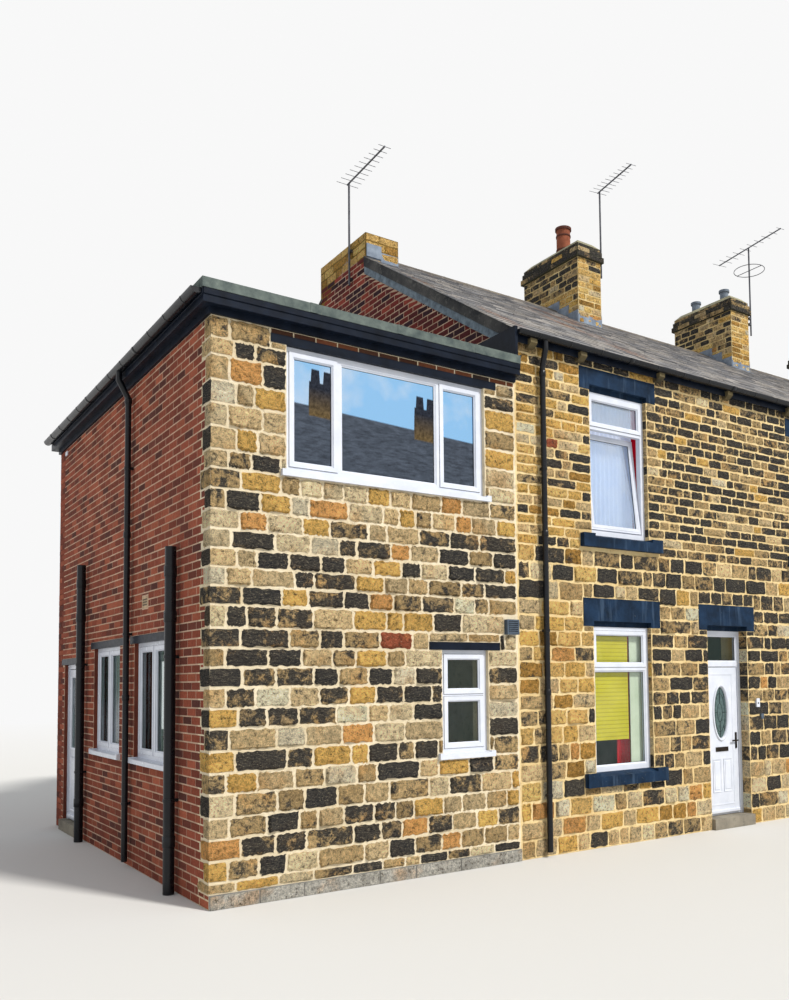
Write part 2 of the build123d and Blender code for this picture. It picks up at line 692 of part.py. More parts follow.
def make_flat_roof():
    deck_z1 = EXT_WALL_TOP + DECK_THICK
    deck = block(-DECK_OVERHANG, EXT_WIDTH, -DECK_OVERHANG, EXT_DEPTH + DECK_OVERHANG,
                 EXT_WALL_TOP, deck_z1)
    board = DECK_OVERHANG + FASCIA_THICK
    fascia = ring_of_three(board, DECK_OVERHANG, EXT_WALL_TOP - SOFFIT_THICK, deck_z1)
    soffit = ring_of_three(board, 0, EXT_WALL_TOP - SOFFIT_THICK, EXT_WALL_TOP)
    frieze_z1 = EXT_WALL_TOP - SOFFIT_THICK
    frieze = ring_of_three(FRIEZE_THICK, 0, frieze_z1 - FRIEZE_HEIGHT, frieze_z1)
    outer = board + KERB_PROUD
    kerb = ring_of_three(outer, outer - KERB_WIDTH, deck_z1, deck_z1 + KERB_HEIGHT)
    return {"extension_roof_deck": deck, "extension_fascias": fascia + soffit + frieze,
            "extension_roof_kerb": kerb}


def gutter_solid(length):
    """A half-round channel along +Y with closed ends, its rim at Z = 0."""
    outer = Cylinder(GUTTER_RADIUS, length, rotation=(-90, 0, 0))
    inner = Cylinder(GUTTER_RADIUS - GUTTER_THICK, length - 2 * GUTTER_THICK, rotation=(-90, 0, 0))
    size = 2 * GUTTER_RADIUS
    return (outer - inner) - Pos(0, 0, size / 2) * Box(2 * size, 2 * length, size)


def make_gutters():
    ext_x = -(DECK_OVERHANG + FASCIA_THICK + GUTTER_RADIUS)
    ext_z = EXT_WALL_TOP + DECK_THICK - GUTTER_THICK
    ext = Pos(ext_x, EXT_DEPTH / 2, ext_z) * gutter_solid(EXT_DEPTH + 2 * DECK_OVERHANG)
    length = ROW_END_X - EXT_WIDTH + VERGE_OVERHANG
    middle = (ROW_END_X + EXT_WIDTH - VERGE_OVERHANG) / 2
    turned = Rot(0, 0, 90) * gutter_solid(length)
    front_y = -(EAVES_OVERHANG + GUTTER_RADIUS)
    mains = [Pos(middle, y, MAIN_GUTTER_Z) * turned for y in (front_y, HOUSE_DEPTH - front_y)]
    return ext, mains


def make_corbels():
    """Stone corbels under the gutters, front and back."""
    top = MAIN_GUTTER_Z - GUTTER_RADIUS
    step = HOUSE_PITCH / CORBELS_PER_HOUSE
    reach = EAVES_OVERHANG + GUTTER_RADIUS
    count = HOUSE_COUNT * CORBELS_PER_HOUSE
    places = [FIRST_CORBEL] + [CORBEL_START + step * n for n in range(count)]
    outline = [(0, top - CORBEL_HEIGHT), (0, under_roof_z(0)),
               (-EAVES_OVERHANG, roof_z(-EAVES_OVERHANG) - ROOF_DROP), (-EAVES_OVERHANG, top),
               (-reach, top), (-reach, top - CORBEL_HEIGHT / 2), (-reach / 2, top - CORBEL_HEIGHT)]
    corbels = []
    for place in places:
        x = EXT_WIDTH + place
        one = profile_along_x(outline, x, x + CORBEL_WIDTH)
        corbels += [one, Pos(0, HOUSE_DEPTH, 0) * mirror(one, Plane.XZ)]
    return corbels


def pipe_along(points, radius, bend):
    """A round pipe along straight runs with rounded bends."""
    path = FilletPolyline(*points, radius=bend) if len(points) > 2 else Line(*points)
    start = Plane(origin=path @ 0, z_dir=path % 0)
    return sweep(start * Circle(radius), path)


def make_pipes():
    """The side downpipe with its swan neck, the two soil pipes and the front downpipe."""
    wall_gap = -(PIPE_GAP + DOWNPIPE_RADIUS)
    gutter_x = -(DECK_OVERHANG + FASCIA_THICK + GUTTER_RADIUS)
    gutter_z = EXT_WALL_TOP + DECK_THICK - GUTTER_THICK - GUTTER_RADIUS
    y = SIDE_PIPE_Y
    side = pipe_along([(gutter_x, y, gutter_z), (gutter_x, y, gutter_z - SWAN_START),
                       (wall_gap, y, gutter_z - SWAN_END), (wall_gap, y, PIPE_FOOT_Z)],
                      DOWNPIPE_RADIUS, SWAN_BEND)
    soil_x = -(PIPE_GAP + SOIL_PIPE_RADIUS)
    soils = [pipe_along([(soil_x, sy, 0), (soil_x, sy, top)], SOIL_PIPE_RADIUS, 0)
             for sy, top in SOIL_PIPES]
    front_y = -(EAVES_OVERHANG + GUTTER_RADIUS)
    top = MAIN_GUTTER_Z - GUTTER_RADIUS
    x = FRONT_PIPE_X
    front = pipe_along([(x, front_y, top), (x, front_y, top - SWAN_START),
                        (x, wall_gap, top - SWAN_END), (x, wall_gap, PIPE_FOOT_Z)],
                       DOWNPIPE_RADIUS, SWAN_BEND)
    return side, soils, front


def pipe_bracket(x, z, radius):
    """A collar round an upright pipe with a stand-off to the wall, made for the front wall."""
    reach = PIPE_GAP + radius
    bore = radius + PIPE_FIT
    collar = Cylinder(bore + BRACKET_THICK, BRACKET_HEIGHT)
    collar += Pos(0, reach / 2, 0) * Box(radius, reach, BRACKET_HEIGHT)
    collar -= Cylinder(bore, 2 * BRACKET_HEIGHT)
    return Pos(x, -reach, z) * collar


def make_brackets():
    plans = [(SIDE_FACE, -SIDE_PIPE_Y, DOWNPIPE_RADIUS, DOWNPIPE_BRACKETS),
             (FRONT_FACE, FRONT_PIPE_X, DOWNPIPE_RADIUS, DOWNPIPE_BRACKETS)]
    plans += [(SIDE_FACE, -y, SOIL_PIPE_RADIUS, SOIL_BRACKETS) for y, _ in SOIL_PIPES]
    return [face * pipe_bracket(x, z, radius) for face, x, radius, heights in plans for z in heights]


def knuckle(pivot, z, side):
    """Half a lift-off hinge: a barrel on the pivot with a flap on the inner face at one side."""
    barrel = Cylinder(HINGE_RADIUS, KNUCKLE_HEIGHT, align=(Align.CENTER, Align.CENTER, Align.MIN))
    x0, x1 = sorted((side * HINGE_RADIUS / 4, side * FLAP_WIDTH))
    flap = block(x0, x1, -HINGE_OFFSET, FLAP_THICK - HINGE_OFFSET, 0, KNUCKLE_HEIGHT)
    return Pos(pivot[0], pivot[1], z) * (barrel + flap)


def hang(frame, leaf, pivot, z0):
    """Add hinge knuckles to a frame, and the ones that stand on them to its leaf."""
    for height in HINGE_HEIGHTS:
        z = z0 + height
        frame += knuckle(pivot, z, -1)
        leaf += knuckle(pivot, z + KNUCKLE_HEIGHT + KNUCKLE_GAP, 1)
    return frame, leaf


def door_set(hole, recess, transom_z0):
    """Frame, leaf, fanlight and handles of a hinged door, made for the front wall.

    It is hung on its left side and opens inwards. The leaf clears its frame by LEAF_GAP.
    """
    x0, x1, z0, z1 = hole
    y0 = recess
    y1 = recess + FRAME_DEPTH
    jamb0 = x0 + FRAME_WIDTH
    jamb1 = x1 - FRAME_WIDTH
    head = transom_z0 if transom_z0 else z1 - FRAME_WIDTH
    frame = block(x0, x1, y0, y1, z0, z1)
    frame -= block(jamb0, jamb1, y0 - 1, y1 + 1, z0 - 1, head)
    panes = []
    if transom_z0:
        light = (jamb0, jamb1, head + DOOR_TRANSOM_HEIGHT, z1 - FRAME_WIDTH)
        frame -= block(light[0], light[1], y0 - 1, y1 + 1, light[2], light[3])
        mid = (y0 + y1) / 2
        half = GLASS_THICK / 2
        panes.append(block(light[0], light[1], mid - half, mid + half, light[2], light[3]))
    leaf_y0 = y1 - LEAF_THICK
    leaf = block(jamb0 + LEAF_GAP, jamb1 - LEAF_GAP, leaf_y0, y1, z0 + LEAF_GAP, head - LEAF_GAP)
    pivot = (jamb0 + LEAF_GAP, y1 + HINGE_OFFSET)
    return frame, leaf, panes, pivot, (jamb1 - LEAF_GAP, leaf_y0, y1, z0)


def make_handles(edge_x, y_out, y_in, z0):
    """A lever handle on a plate, on both faces of a leaf."""
    x = edge_x - HANDLE_INSET
    z = z0 + HANDLE_HEIGHT
    handles = []
    for face_y, side in ((y_out, -1), (y_in, 1)):
        plate_w, plate_t, plate_h = HANDLE_PLATE
        lever_l, lever_t, lever_h = LEVER
        handle = Pos(x, face_y + side * plate_t / 2, z) * Box(plate_w, plate_t, plate_h)
        handle += Pos(x, face_y + side * LEVER_STAND / 2, z) * Box(LEVER_STEM, LEVER_STAND, LEVER_STEM)
        lever_x = x - (lever_l - LEVER_STEM) / 2
        lever_y = face_y + side * (LEVER_STAND - lever_t / 2)
        handle += Pos(lever_x, lever_y, z) * Box(lever_l, lever_t, lever_h)
        handles.append(handle)
    return handles


def make_front_door():
    hole = house_holes(0)["door"]
    frame, leaf, panes, pivot, edge = door_set(hole, DOOR_RECESS, DOOR_TRANSOM_Z)
    middle_x = (hole[0] + hole[1]) / 2
    _, y_out, y_in, z0 = edge
    oval_plane = Plane(origin=(middle_x, y_out - 1, z0 + OVAL_Z), x_dir=(1, 0, 0), z_dir=(0, 1, 0))
    cutter = extrude(oval_plane * Ellipse(*OVAL_RADII), amount=LEAF_THICK + 2)
    leaf -= cutter
    mid = (y_out + y_in) / 2
    glass_plane = Plane(origin=(middle_x, mid - GLASS_THICK / 2, z0 + OVAL_Z), x_dir=(1, 0, 0),
                        z_dir=(0, 1, 0))
    oval = extrude(glass_plane * Ellipse(*OVAL_RADII), amount=GLASS_THICK)
    plate_w, plate_t, plate_h = LETTERBOX
    letterbox = Pos(middle_x, y_out - plate_t / 2, z0 + LETTERBOX_Z) * Box(plate_w, plate_t, plate_h)
    furniture = make_handles(edge[0], y_out, y_in, z0) + [letterbox]
    frame, leaf = hang(frame, leaf, pivot, z0)
    return frame, leaf, panes, oval, furniture, pivot


def make_side_door():
    frame, leaf, panes, pivot, edge = door_set(SIDE_HOLES["door"], EXT_RECESS, None)
    edge_x, y_out, y_in, z0 = edge
    x0 = SIDE_HOLES["door"][0] + FRAME_WIDTH + LEAF_GAP
    margin = SIDE_LIGHT_MARGIN
    light = (x0 + margin, edge_x - margin, z0 + SIDE_LIGHT_Z, SIDE_DOOR_HEAD_Z - FRAME_WIDTH - margin)
    leaf -= block(light[0], light[1], y_out - 1, y_in + 1, light[2], light[3])
    mid = (y_out + y_in) / 2
    half = GLASS_THICK / 2
    glass = block(light[0], light[1], mid - half, mid + half, light[2], light[3])
    handles = make_handles(edge_x, y_out, y_in, z0)
    frame, leaf = hang(frame, leaf, pivot, z0)
    turned = [SIDE_FACE * piece for piece in handles]
    return SIDE_FACE * frame, SIDE_FACE * leaf, SIDE_FACE * glass, turned, pivot


def make_fixed_doors():
    """Doors of the other houses and of the backs, each one leaf and frame in one piece."""
    places = [(BACK_FACE, back_holes(shift)) for shift in HOUSE_SHIFTS]
    places += [(FRONT_FACE, house_holes(shift)) for shift in HOUSE_SHIFTS[1:]]
    leaf_y1 = DOOR_RECESS + FRAME_DEPTH
    doors, glass = [], []
    for face, holes in places:
        frame, _, panes, _, _ = door_set(holes["door"], DOOR_RECESS, DOOR_TRANSOM_Z)
        x0, x1, z0, _ = holes["door"]
        leaf = block(x0 + FRAME_WIDTH, x1 - FRAME_WIDTH, leaf_y1 - LEAF_THICK, leaf_y1,
                     z0, DOOR_TRANSOM_Z)
        doors.append(face * (frame + leaf))
        glass += [face * pane for pane in panes]
    return doors, glass


def make_boom(length_back, length_front):
    """A boom along Y with cross rods that grow shorter towards its front, on the mast's top."""
    length = length_back + length_front
    middle = (length_back - length_front) / 2
    boom = Pos(0, middle, 0) * Box(BOOM_SIZE, length, BOOM_SIZE)
    step = (length - BOOM_SIZE) / (ELEMENT_COUNT - 1)
    for n in range(ELEMENT_COUNT):
        y = length_back - BOOM_SIZE / 2 - n * step
        span = LONGEST_ELEMENT - n * ELEMENT_TAPER
        boom += Pos(0, y, 0) * Cylinder(ELEMENT_RADIUS, span, rotation=(0, 90, 0))
    return boom


def make_aerial(x, mast, booms, turn, wall_x, brackets, stack_top):
    """A mast with its booms, held off a stack's face at wall_x by two brackets."""
    y, z0, z1 = RIDGE_Y + mast[0], stack_top + mast[1], stack_top + mast[2]
    aerial = Pos(x, y, (z0 + z1) / 2) * Cylinder(MAST_RADIUS, z1 - z0)
    aerial += Pos(x, y, z1) * Rot(0, 0, turn) * make_boom(*booms)
    x0, x1 = sorted((x, wall_x))
    for bracket in brackets:
        z = stack_top + bracket
        aerial += block(x0, x1, y - MAST_BRACKET / 2, y + MAST_BRACKET, z, z + MAST_BRACKET)
    return aerial


def make_halo(x, mast):
    """A round radio aerial that encircles a party stack's mast, on one cross arm."""
    ring = Torus(HALO_RADIUS, HALO_TUBE) + Cylinder(HALO_TUBE, 2 * HALO_RADIUS, rotation=(90, 0, 0))
    return Pos(x, RIDGE_Y + mast[0], PARTY_STACK_TOP + mast[2] - HALO_DROP) * ring


def make_aerials():
    """One aerial beside the gable's stack and one beside each of the first two party stacks."""
    aerials = [make_aerial(EXT_WIDTH - MAST_STAND_OFF, GABLE_MAST, GABLE_BOOM, GABLE_TURN,
                           EXT_WIDTH, GABLE_BRACKETS, GABLE_STACK_TOP)]
    for party_x, mast, boom in zip(PARTY_XS, PARTY_MASTS, PARTY_BOOMS):
        face_x = party_x + STACK_WIDTH / 2
        x = face_x + CAP_PROUD + MAST_RADIUS + MAST_CAP_GAP
        aerials.append(make_aerial(x, mast, boom, PARTY_TURN, face_x, PARTY_BRACKETS, PARTY_STACK_TOP))
    aerials[-1] += make_halo(x, mast)
    return aerials


def make_wall_boxes():
    return [block(EXT_WIDTH + a, EXT_WIDTH + b, -depth, 0, *zs) for (a, b), depth, zs in WALL_BOXES]


def make_verge(shafts):
    """Mortar strips that close the slopes' edges over the gable."""
    y0 = -EAVES_OVERHANG
    rise = VERGE_THICK / COS_PITCH
    edge = [(y0, roof_z(y0)), (RIDGE_Y - RIDGE_LEG, roof_z(RIDGE_Y - RIDGE_LEG)),
            (RIDGE_Y - RIDGE_LEG, roof_z(RIDGE_Y - RIDGE_LEG) + rise), (y0, roof_z(y0) + rise)]
    x0 = EXT_WIDTH - VERGE_OVERHANG
    front = profile_along_x(edge, x0, x0 + VERGE_STRIP)
    back = Pos(0, HOUSE_DEPTH, 0) * mirror(front, Plane.XZ)
    return [cut_all(strip, shafts) for strip in (front, back)]


def verge_board_outline(y0, y1):
    top = [(y0, under_roof_z(y0)), (y1, under_roof_z(y1))]
    return top + [(y, z - VERGE_BOARD_DEPTH / COS_PITCH) for y, z in reversed(top)]


def make_verge_boards():
    """Boards on the gable's face under both slopes, up to the stack."""
    y0, y1 = stack_depth(GABLE_STACK_BACK)
    x0 = EXT_WIDTH - VERGE_BOARD_THICK
    return [profile_along_x(verge_board_outline(a, b), x0, EXT_WIDTH)
            for a, b in ((0, y0), (y1, HOUSE_DEPTH))]


def make_eaves_board():
    """The board that closes the gutter's end and the eaves above the flat roof's kerb."""
    x1 = EXT_WIDTH - VERGE_OVERHANG
    y0 = -(EAVES_OVERHANG + GUTTER_RADIUS)
    z0 = EXT_WALL_TOP + DECK_THICK + KERB_HEIGHT
    return block(x1 - EAVES_BOARD_THICK, x1, y0, y0 + EAVES_BOARD_LENGTH, z0,
                 EAVES_Z - EAVES_BOARD_DROP)


def make_apron(x0, x1, y0):
    """A bent lead sheet against a stack's front face at y0 and down the slope."""
    foot = y0 - FLASHING_HEIGHT
    face = y0 - FLASHING_THICK
    outline = [(y0, roof_z(y0)), (y0, roof_z(y0) + FLASHING_HEIGHT),
               (face, roof_z(y0) + FLASHING_HEIGHT), (face, roof_z(face) + FLASHING_THICK),
               (foot, roof_z(foot) + FLASHING_THICK), (foot, roof_z(foot))]
    return profile_along_x(outline, x0, x1)


def make_flashings():
    """Lead aprons on the front and back of each stack, on the slopes."""
    verge_x1 = EXT_WIDTH - VERGE_OVERHANG + VERGE_STRIP
    places = [(*span, 0) for span in stack_spans()]
    places.append((verge_x1, EXT_WIDTH + GABLE_STACK_WIDTH, GABLE_STACK_BACK))
    aprons = []
    for x0, x1, back in places:
        front, rear = stack_depth(back)
        aprons.append(make_apron(x0, x1, front))
        behind = make_apron(x0, x1, HOUSE_DEPTH - rear)
        aprons.append(Pos(0, HOUSE_DEPTH, 0) * mirror(behind, Plane.XZ))
    return aprons


def build_row():
    """Every piece of the row, by node name."""
    lintels, lintel_pockets = make_lintels()
    ext_lintels = make_ext_lintels()
    sills, pockets = make_sills()
    ext_sills, ext_pockets = make_ext_sills()
    nodes = {}
    nodes.update(make_ext_walls(ext_lintels, ext_pockets))
    nodes.update(make_house_walls(lintel_pockets, pockets))
    gable, parties = make_cross_walls()
    ext_floors, ground, upper = make_floors()
    slopes, shafts = make_roof()
    gable_stack, party_stacks = make_stacks()
    house_frames, house_panes = make_house_windows()
    sash, sash_pane = make_tilted_sash()
    blinds, curtains, rods = make_curtains()
    ext_frames, ext_panes = make_ext_windows()
    ext_gutter, main_gutters = make_gutters()
    side_pipe, soils, front_pipe = make_pipes()
    frame, leaf, fan, oval, furniture, pivot = make_front_door()
    side_frame, side_leaf, side_glass, side_handles, side_pivot = make_side_door()
    fixed, fixed_glass = make_fixed_doors()
    nodes["extension_plinth"] = block(0, EXT_WIDTH, -PLINTH_PROUD, 0, 0, PLINTH_HEIGHT)
    nodes.update(make_flat_roof())
    nodes.update(slopes)
    nodes.update({
        "extension_floors": ext_floors,
        "extension_gutter": ext_gutter,
        "extension_lintels": ext_lintels,
        "extension_sills": ext_sills,
        "extension_window_frames": ext_frames,
        "extension_glass": ext_panes,
        "side_downpipe": side_pipe,
        "soil_pipes": soils,
        "side_door_frame": side_frame,
        "side_door": side_leaf,
        "side_door_glass": side_glass,
        "side_door_handles": side_handles,
        "gable_wall": gable,
        "party_walls": parties,
        "ground_floors": ground,
        "upper_floors": upper,
        "ridge_tiles": make_ridge(shafts),
        "gable_verge": make_verge(shafts),
        "verge_boards": make_verge_boards(),
        "eaves_end_board": make_eaves_board(),
        "gable_chimney_stack": gable_stack,
        "party_chimney_stacks": party_stacks,
        "chimney_mortar": make_flaunching(),
        "chimney_pots": make_pots(),
        "chimney_flashings": make_flashings(),
        "main_gutters": main_gutters,
        "gutter_corbels": make_corbels(),
        "front_downpipe": front_pipe,
        "pipe_brackets": make_brackets(),
        "house_lintels": lintels,
        "house_sills": sills,
        "house_window_frames": house_frames,
        "house_glass": house_panes + [sash_pane] + fan + fixed_glass,
        "tilted_sash": sash,
        "window_blinds": blinds,
        "curtains": curtains,
        "curtain_rods": rods,
        "front_door_frame": frame,
        "front_door": leaf,
        "front_door_glass": oval,
        "front_door_furniture": furniture,
        "fixed_doors": fixed,
        "thresholds": make_thresholds(),
        "tv_aerials": make_aerials(),
        "wall_boxes": make_wall_boxes(),
    })
    return nodes, pivot, side_pivot


def as_shape(piece):
    """One shape for a node: a single solid, or a compound of its separate solids."""
    if isinstance(piece, list):
        solids = [s for p in piece for s in p.solids()]
        return Compound(children=solids)
    return piece


def main():
    nodes, pivot, side_pivot = build_row()
    shapes = {name: as_shape(piece) for name, piece in nodes.items()}
    boxes = [shape.bounding_box() for shape in shapes.values()]
    low = [min(tuple(b.min)[i] for b in boxes) for i in range(3)]
    high = [max(tuple(b.max)[i] for b in boxes) for i in range(3)]
    centre = Pos(-(low[0] + high[0]) / 2, -(low[1] + high[1]) / 2, -low[2])
    os.makedirs("parts", exist_ok=True)
    for name, shape in shapes.items():
        export_step(centre * shape, f"parts/{name}.step")
    print("low", low, "high", high)
    shift = (centre.position.X, centre.position.Y, centre.position.Z)
    print("moved by", shift)
    print("front door pivot", pivot[0] + shift[0], pivot[1] + shift[1])
    side = (side_pivot[1], -side_pivot[0])
    print("side door pivot", side[0] + shift[0], side[1] + shift[1])


main()
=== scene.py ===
import json
import math
import random

import bpy
from mathutils import Matrix, Vector


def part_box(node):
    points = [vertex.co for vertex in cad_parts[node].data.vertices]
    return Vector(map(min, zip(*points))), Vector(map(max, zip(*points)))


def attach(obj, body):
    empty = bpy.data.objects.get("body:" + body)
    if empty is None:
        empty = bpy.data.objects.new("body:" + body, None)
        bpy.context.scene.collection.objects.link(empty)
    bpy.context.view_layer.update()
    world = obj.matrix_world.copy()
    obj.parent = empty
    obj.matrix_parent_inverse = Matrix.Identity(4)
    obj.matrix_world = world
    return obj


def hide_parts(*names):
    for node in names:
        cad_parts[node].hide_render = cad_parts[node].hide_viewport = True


# Looks for the terraced house row: stones, bricks, slates, the details of windows and doors,
# curtains, the fittings of pipes and gutters, and all materials. Metres. Positions are measured
# from the extension's outer front corner, as in the part's source, and are moved by its place.

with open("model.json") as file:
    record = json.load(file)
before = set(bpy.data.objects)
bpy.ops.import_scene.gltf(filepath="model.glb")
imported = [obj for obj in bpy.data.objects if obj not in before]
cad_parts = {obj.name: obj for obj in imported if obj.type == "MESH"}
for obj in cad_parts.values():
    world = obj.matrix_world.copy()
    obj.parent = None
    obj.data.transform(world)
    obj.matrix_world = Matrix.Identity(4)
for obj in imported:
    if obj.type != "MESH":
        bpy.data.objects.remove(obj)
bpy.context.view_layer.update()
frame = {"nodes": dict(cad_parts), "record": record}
NODES = frame["nodes"]
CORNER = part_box("extension_front_wall")[0]

# Plan and heights, the same as in the part's source
EXT_WIDTH = 3.6
EXT_DEPTH = 6.32
EXT_TOP = 5.47
PLINTH_TOP = 0.13
PLINTH_PROUD = 0.02
DECK_TOP = 5.66
KERB_TOP = 5.755
KERB_PROUD = 0.13
FLOOR_LEVEL = 0.142
HOUSE_PITCH = 4.14
HOUSE_COUNT = 3
SHIFTS = [n * HOUSE_PITCH for n in range(HOUSE_COUNT)]
HOUSE_DEPTH = 8.07
ROW_END = 16.44
WALL_TOP = 6.0
ROOF_PITCH = math.radians(32.5)
TAN_PITCH, COS_PITCH, SIN_PITCH = math.tan(ROOF_PITCH), math.cos(ROOF_PITCH), math.sin(ROOF_PITCH)
EAVES_Z = 6.11
EAVES_OUT = 0.07
EAVES_BOARD_END = 0.69
ROOF_DROP = 0.11 / COS_PITCH
VERGE_OUT = 0.035
VERGE_STRIP = 0.09
VERGE_THICK = 0.018
VERGE_BOARD = 0.095
RIDGE_Y = HOUSE_DEPTH / 2
RIDGE_Z = EAVES_Z + RIDGE_Y * TAN_PITCH
RIDGE_LEG = 0.19
RIDGE_THICK = 0.022
RIDGE_TILE = 0.45

# Chimneys
STACK_LENGTH = 1.47
STACKS = ((7.7175, 8.2625), (11.8575, 12.4025), (15.895, 16.44))
STACK_TOP = RIDGE_Z + 0.96
CAP_HEIGHT = 0.255
CAP_COURSE = 0.095
CAP_PROUD = 0.045
FLAUNCH_HEIGHT = 0.1
POT_HEIGHTS = (0.48, 0.23)
POT_RADIUS = 0.125
POT_FORWARD = 0.075
POT_BANDS = (0.31, 0.05)
POT_BAND = 0.03
GABLE_STACK = (3.6, 4.167)
GABLE_STACK_TOP = RIDGE_Z + 0.04
GABLE_STACK_STONES = 0.37
GABLE_STACK_BACK = 0.17
GABLE_LEAD = (3.61, 3.86, GABLE_STACK_TOP - GABLE_STACK_STONES, GABLE_STACK_TOP - 0.17)
GABLE_LEAD_THICK = 0.026
LEAD_STEPS = 3
LEAD_RISE = 0.07
LEAD_DROP = 0.02
LEAD_THICK = 0.014

# Windows and doors. Holes are given as left, right, bottom and top.
WINDOW = (4.785, 5.79)
UPPER_Z = (3.807, 5.608)
LOWER_Z = (0.896, 2.673)
UPPER_TRANSOM = 0.44
LOWER_TRANSOM = 0.51
WINDOW_RECESS = 0.065
DOOR = (6.878, 7.717, FLOOR_LEVEL, 2.673)
DOOR_RECESS = 0.136
DOOR_TRANSOM = (2.18, 2.245)
LEAF_FACE = 0.146
LEAF_GAP = 0.01
LINTEL_SIDE = 0.165
UPPER_LINTEL = 0.272
LOWER_LINTEL = 0.345
SILL_SIDE = 0.19
SILL_HEIGHT = 0.165
BIG_WINDOW = (0.755, 3.158, 4.096, 5.332)
BIG_MULLIONS = (1.343, 2.565)
SMALL_WINDOW = (2.554, 3.172, 1.259, 2.364)
SMALL_TRANSOM = 1.875
EXT_RECESS = 0.045
EXT_LINTEL_SIDE = 0.165
EXT_LINTEL = 0.085
EXT_SILL = 0.065
EXT_SILL_SIDE = 0.06
SIDE_WINDOWS = ((1.199, 2.398, 1.221, 2.49), (2.998, 4.197, 1.221, 2.49))
SIDE_DOOR = (4.96, 5.886, FLOOR_LEVEL, 2.318)
SIDE_LEAF_FACE = 0.055
SIDE_LIGHT_MARGIN = 0.11
SIDE_LIGHT_Z = 1.142
BACK_WINDOWS = ((1.2, 2.4, 1.221, 2.49), (1.2, 2.4, 4.096, 5.332))
FRAME_WIDTH = 0.062
BAR_WIDTH = 0.058
GLASS_FRONT = 0.023
GASKET_WIDTH = 0.004
SASH_LAP = 0.016
SASH_FACE = 0.046
BEAD_WIDTH = 0.014
OVAL = (7.2975, 1.545)
OVAL_RADII = (0.143, 0.36)
OVAL_GLASS_FACE = 0.018
CAME_WIDTH = 0.007
DOOR_MOULDING = 0.095
DOOR_MOULDING_Z = (0.285, 2.08)
DOOR_PANELS = ((7.1, 7.272, 0.46, 0.91), (7.323, 7.495, 0.46, 0.91))
FIXED_PANELS = ((0.38, 0.95), (1.12, 2.03))
FIXED_PANEL_SIDES = (0.035, 0.26)
FIXED_BAR_HALF = 0.34
SIDE_PANEL = (0.28, 1.03)
WEATHER_BAR = (FLOOR_LEVEL + 0.03, FLOOR_LEVEL + 0.08)
WEATHER_BAR_PROUD = 0.026
WEATHER_BAR_GAP = 0.01
SASH_TILT = math.radians(6)
SASH_CORNER = (4.853, 0.071, 3.885)
SASH_SIZE = (0.869, 1.248)
SASH_BAR = 0.055

# Fittings on the walls
VENT_BOX = (3.406, 3.576, 2.544, 2.714)
VENT_PROUD = 0.06
VENT_SLATS = 6
BELL_BUTTON = (7.885, 7.905, 1.655, 1.675)
BELL_PROUD = 0.03
SMALL_BOX_TOP = 1.56
AIR_BRICK = (1.89, 2.12, 2.856, 3.002)
AIR_BRICK_HOLES = (6, 3)
AIR_BRICK_HOLE = 0.009
SIDE_PLATE = (5.86, 5.97, 5.37, 5.43)

# Cloth: spans along the wall and heights from the hole's lower corner, and depth into the room
YELLOW_BLIND = (0.066, 0.706, 0.374, 1.74)
PALE_BLIND = (0.738, 0.94, 0.04, 1.74)
RED_LOWER_CURTAIN = (0.625, 0.865, 0.024, 1.716)
NET_CURTAIN = (0.014, 0.95, 0.024, 1.755)
RED_UPPER_CURTAIN = (0.93, 0.99, 0.024, 1.755)
BLIND_Y = 0.139
CURTAIN_Y = 0.292
BACK_CURTAIN_Y = 0.325
CLOTH_ROWS = 12
FOLD_STEPS = 12

# Gutters and pipes
GUTTER_RADIUS = 0.056
GUTTER_Y = -0.126
GUTTER_Z = 6.06
EXT_GUTTER = (-0.171, 5.656)
PIPE_RADIUS = 0.034
SOIL_RADIUS = 0.055
PIPE_GAP = 0.03
SIDE_PIPE_Y = 2.507
FRONT_PIPE_X = 3.98
SOIL_PIPES = ((0.872, 3.39), (4.5788, 3.61))
SIDE_PIPE_SOCKETS = (1.85, 3.7, 5.25)
FRONT_PIPE_SOCKETS = (1.85, 3.7, 5.6)
SOIL_SOCKET_FOOT = 0.45
SOIL_SOCKETS_UNDER_TOP = (0.75, 0.3)
SOCKET_PROUD = 0.007
STRAP_PROUD = 0.004
STRAP_WIDTH = 0.022
JOINT_WIDTH = 0.07
JOINT_EVERY = 4
STRAP_STEP = 0.5
EXT_STRAP_STEP = 0.52
EXT_STRAPS = 12
HOOP_SIDES = 24
HOOP_LIP = 0.003

# Walling. Heights of the extension's courses, from its top down. The first is a frieze of brick.
EXT_COURSES = (.060, .146, .164, .237, .219, .219, .219, .173, .190, .195, .181, .181, .174, .174,
               .181, .209, .188, .181, .188, .190, .183, .206, .201, .192, .210, .192, .192, .192,
               .19, .17, .17)
# The height of the houses' courses, and the share of clean stones on the extension, up to a level
HOUSE_COURSES = ((1.3, 0.22), (2.9, 0.185), (3.45, 0.215), (WALL_TOP, 0.118))
CLEAN_SHARES = ((1.7, 0.15), (3.4, 0.4), (EXT_TOP, 0.75))
TAN_FOOT = 0.8
TAN_SIDE = 1.1
JUNCTION_GAP = 0.012
EXT_WALLING = {"lengths": (0.18, 0.44), "joint": 0.015, "bulge": 0.028, "cells": (12, 8)}
HOUSE_WALLING = {"lengths": (0.15, 0.38), "joint": 0.016, "bulge": 0.022, "cells": (7, 5)}
BACK_WALLING = {"lengths": (0.18, 0.42), "joint": 0.017, "bulge": 0.018}
STACK_WALLING = {"lengths": (0.12, 0.3), "joint": 0.014, "bulge": 0.014}
CAP_WALLING = {"lengths": (0.18, 0.36), "joint": 0.01, "bulge": 0.01}
GABLE_STACK_WALLING = {"lengths": (0.16, 0.34), "joint": 0.012, "bulge": 0.014}
STACK_COURSE = 0.108
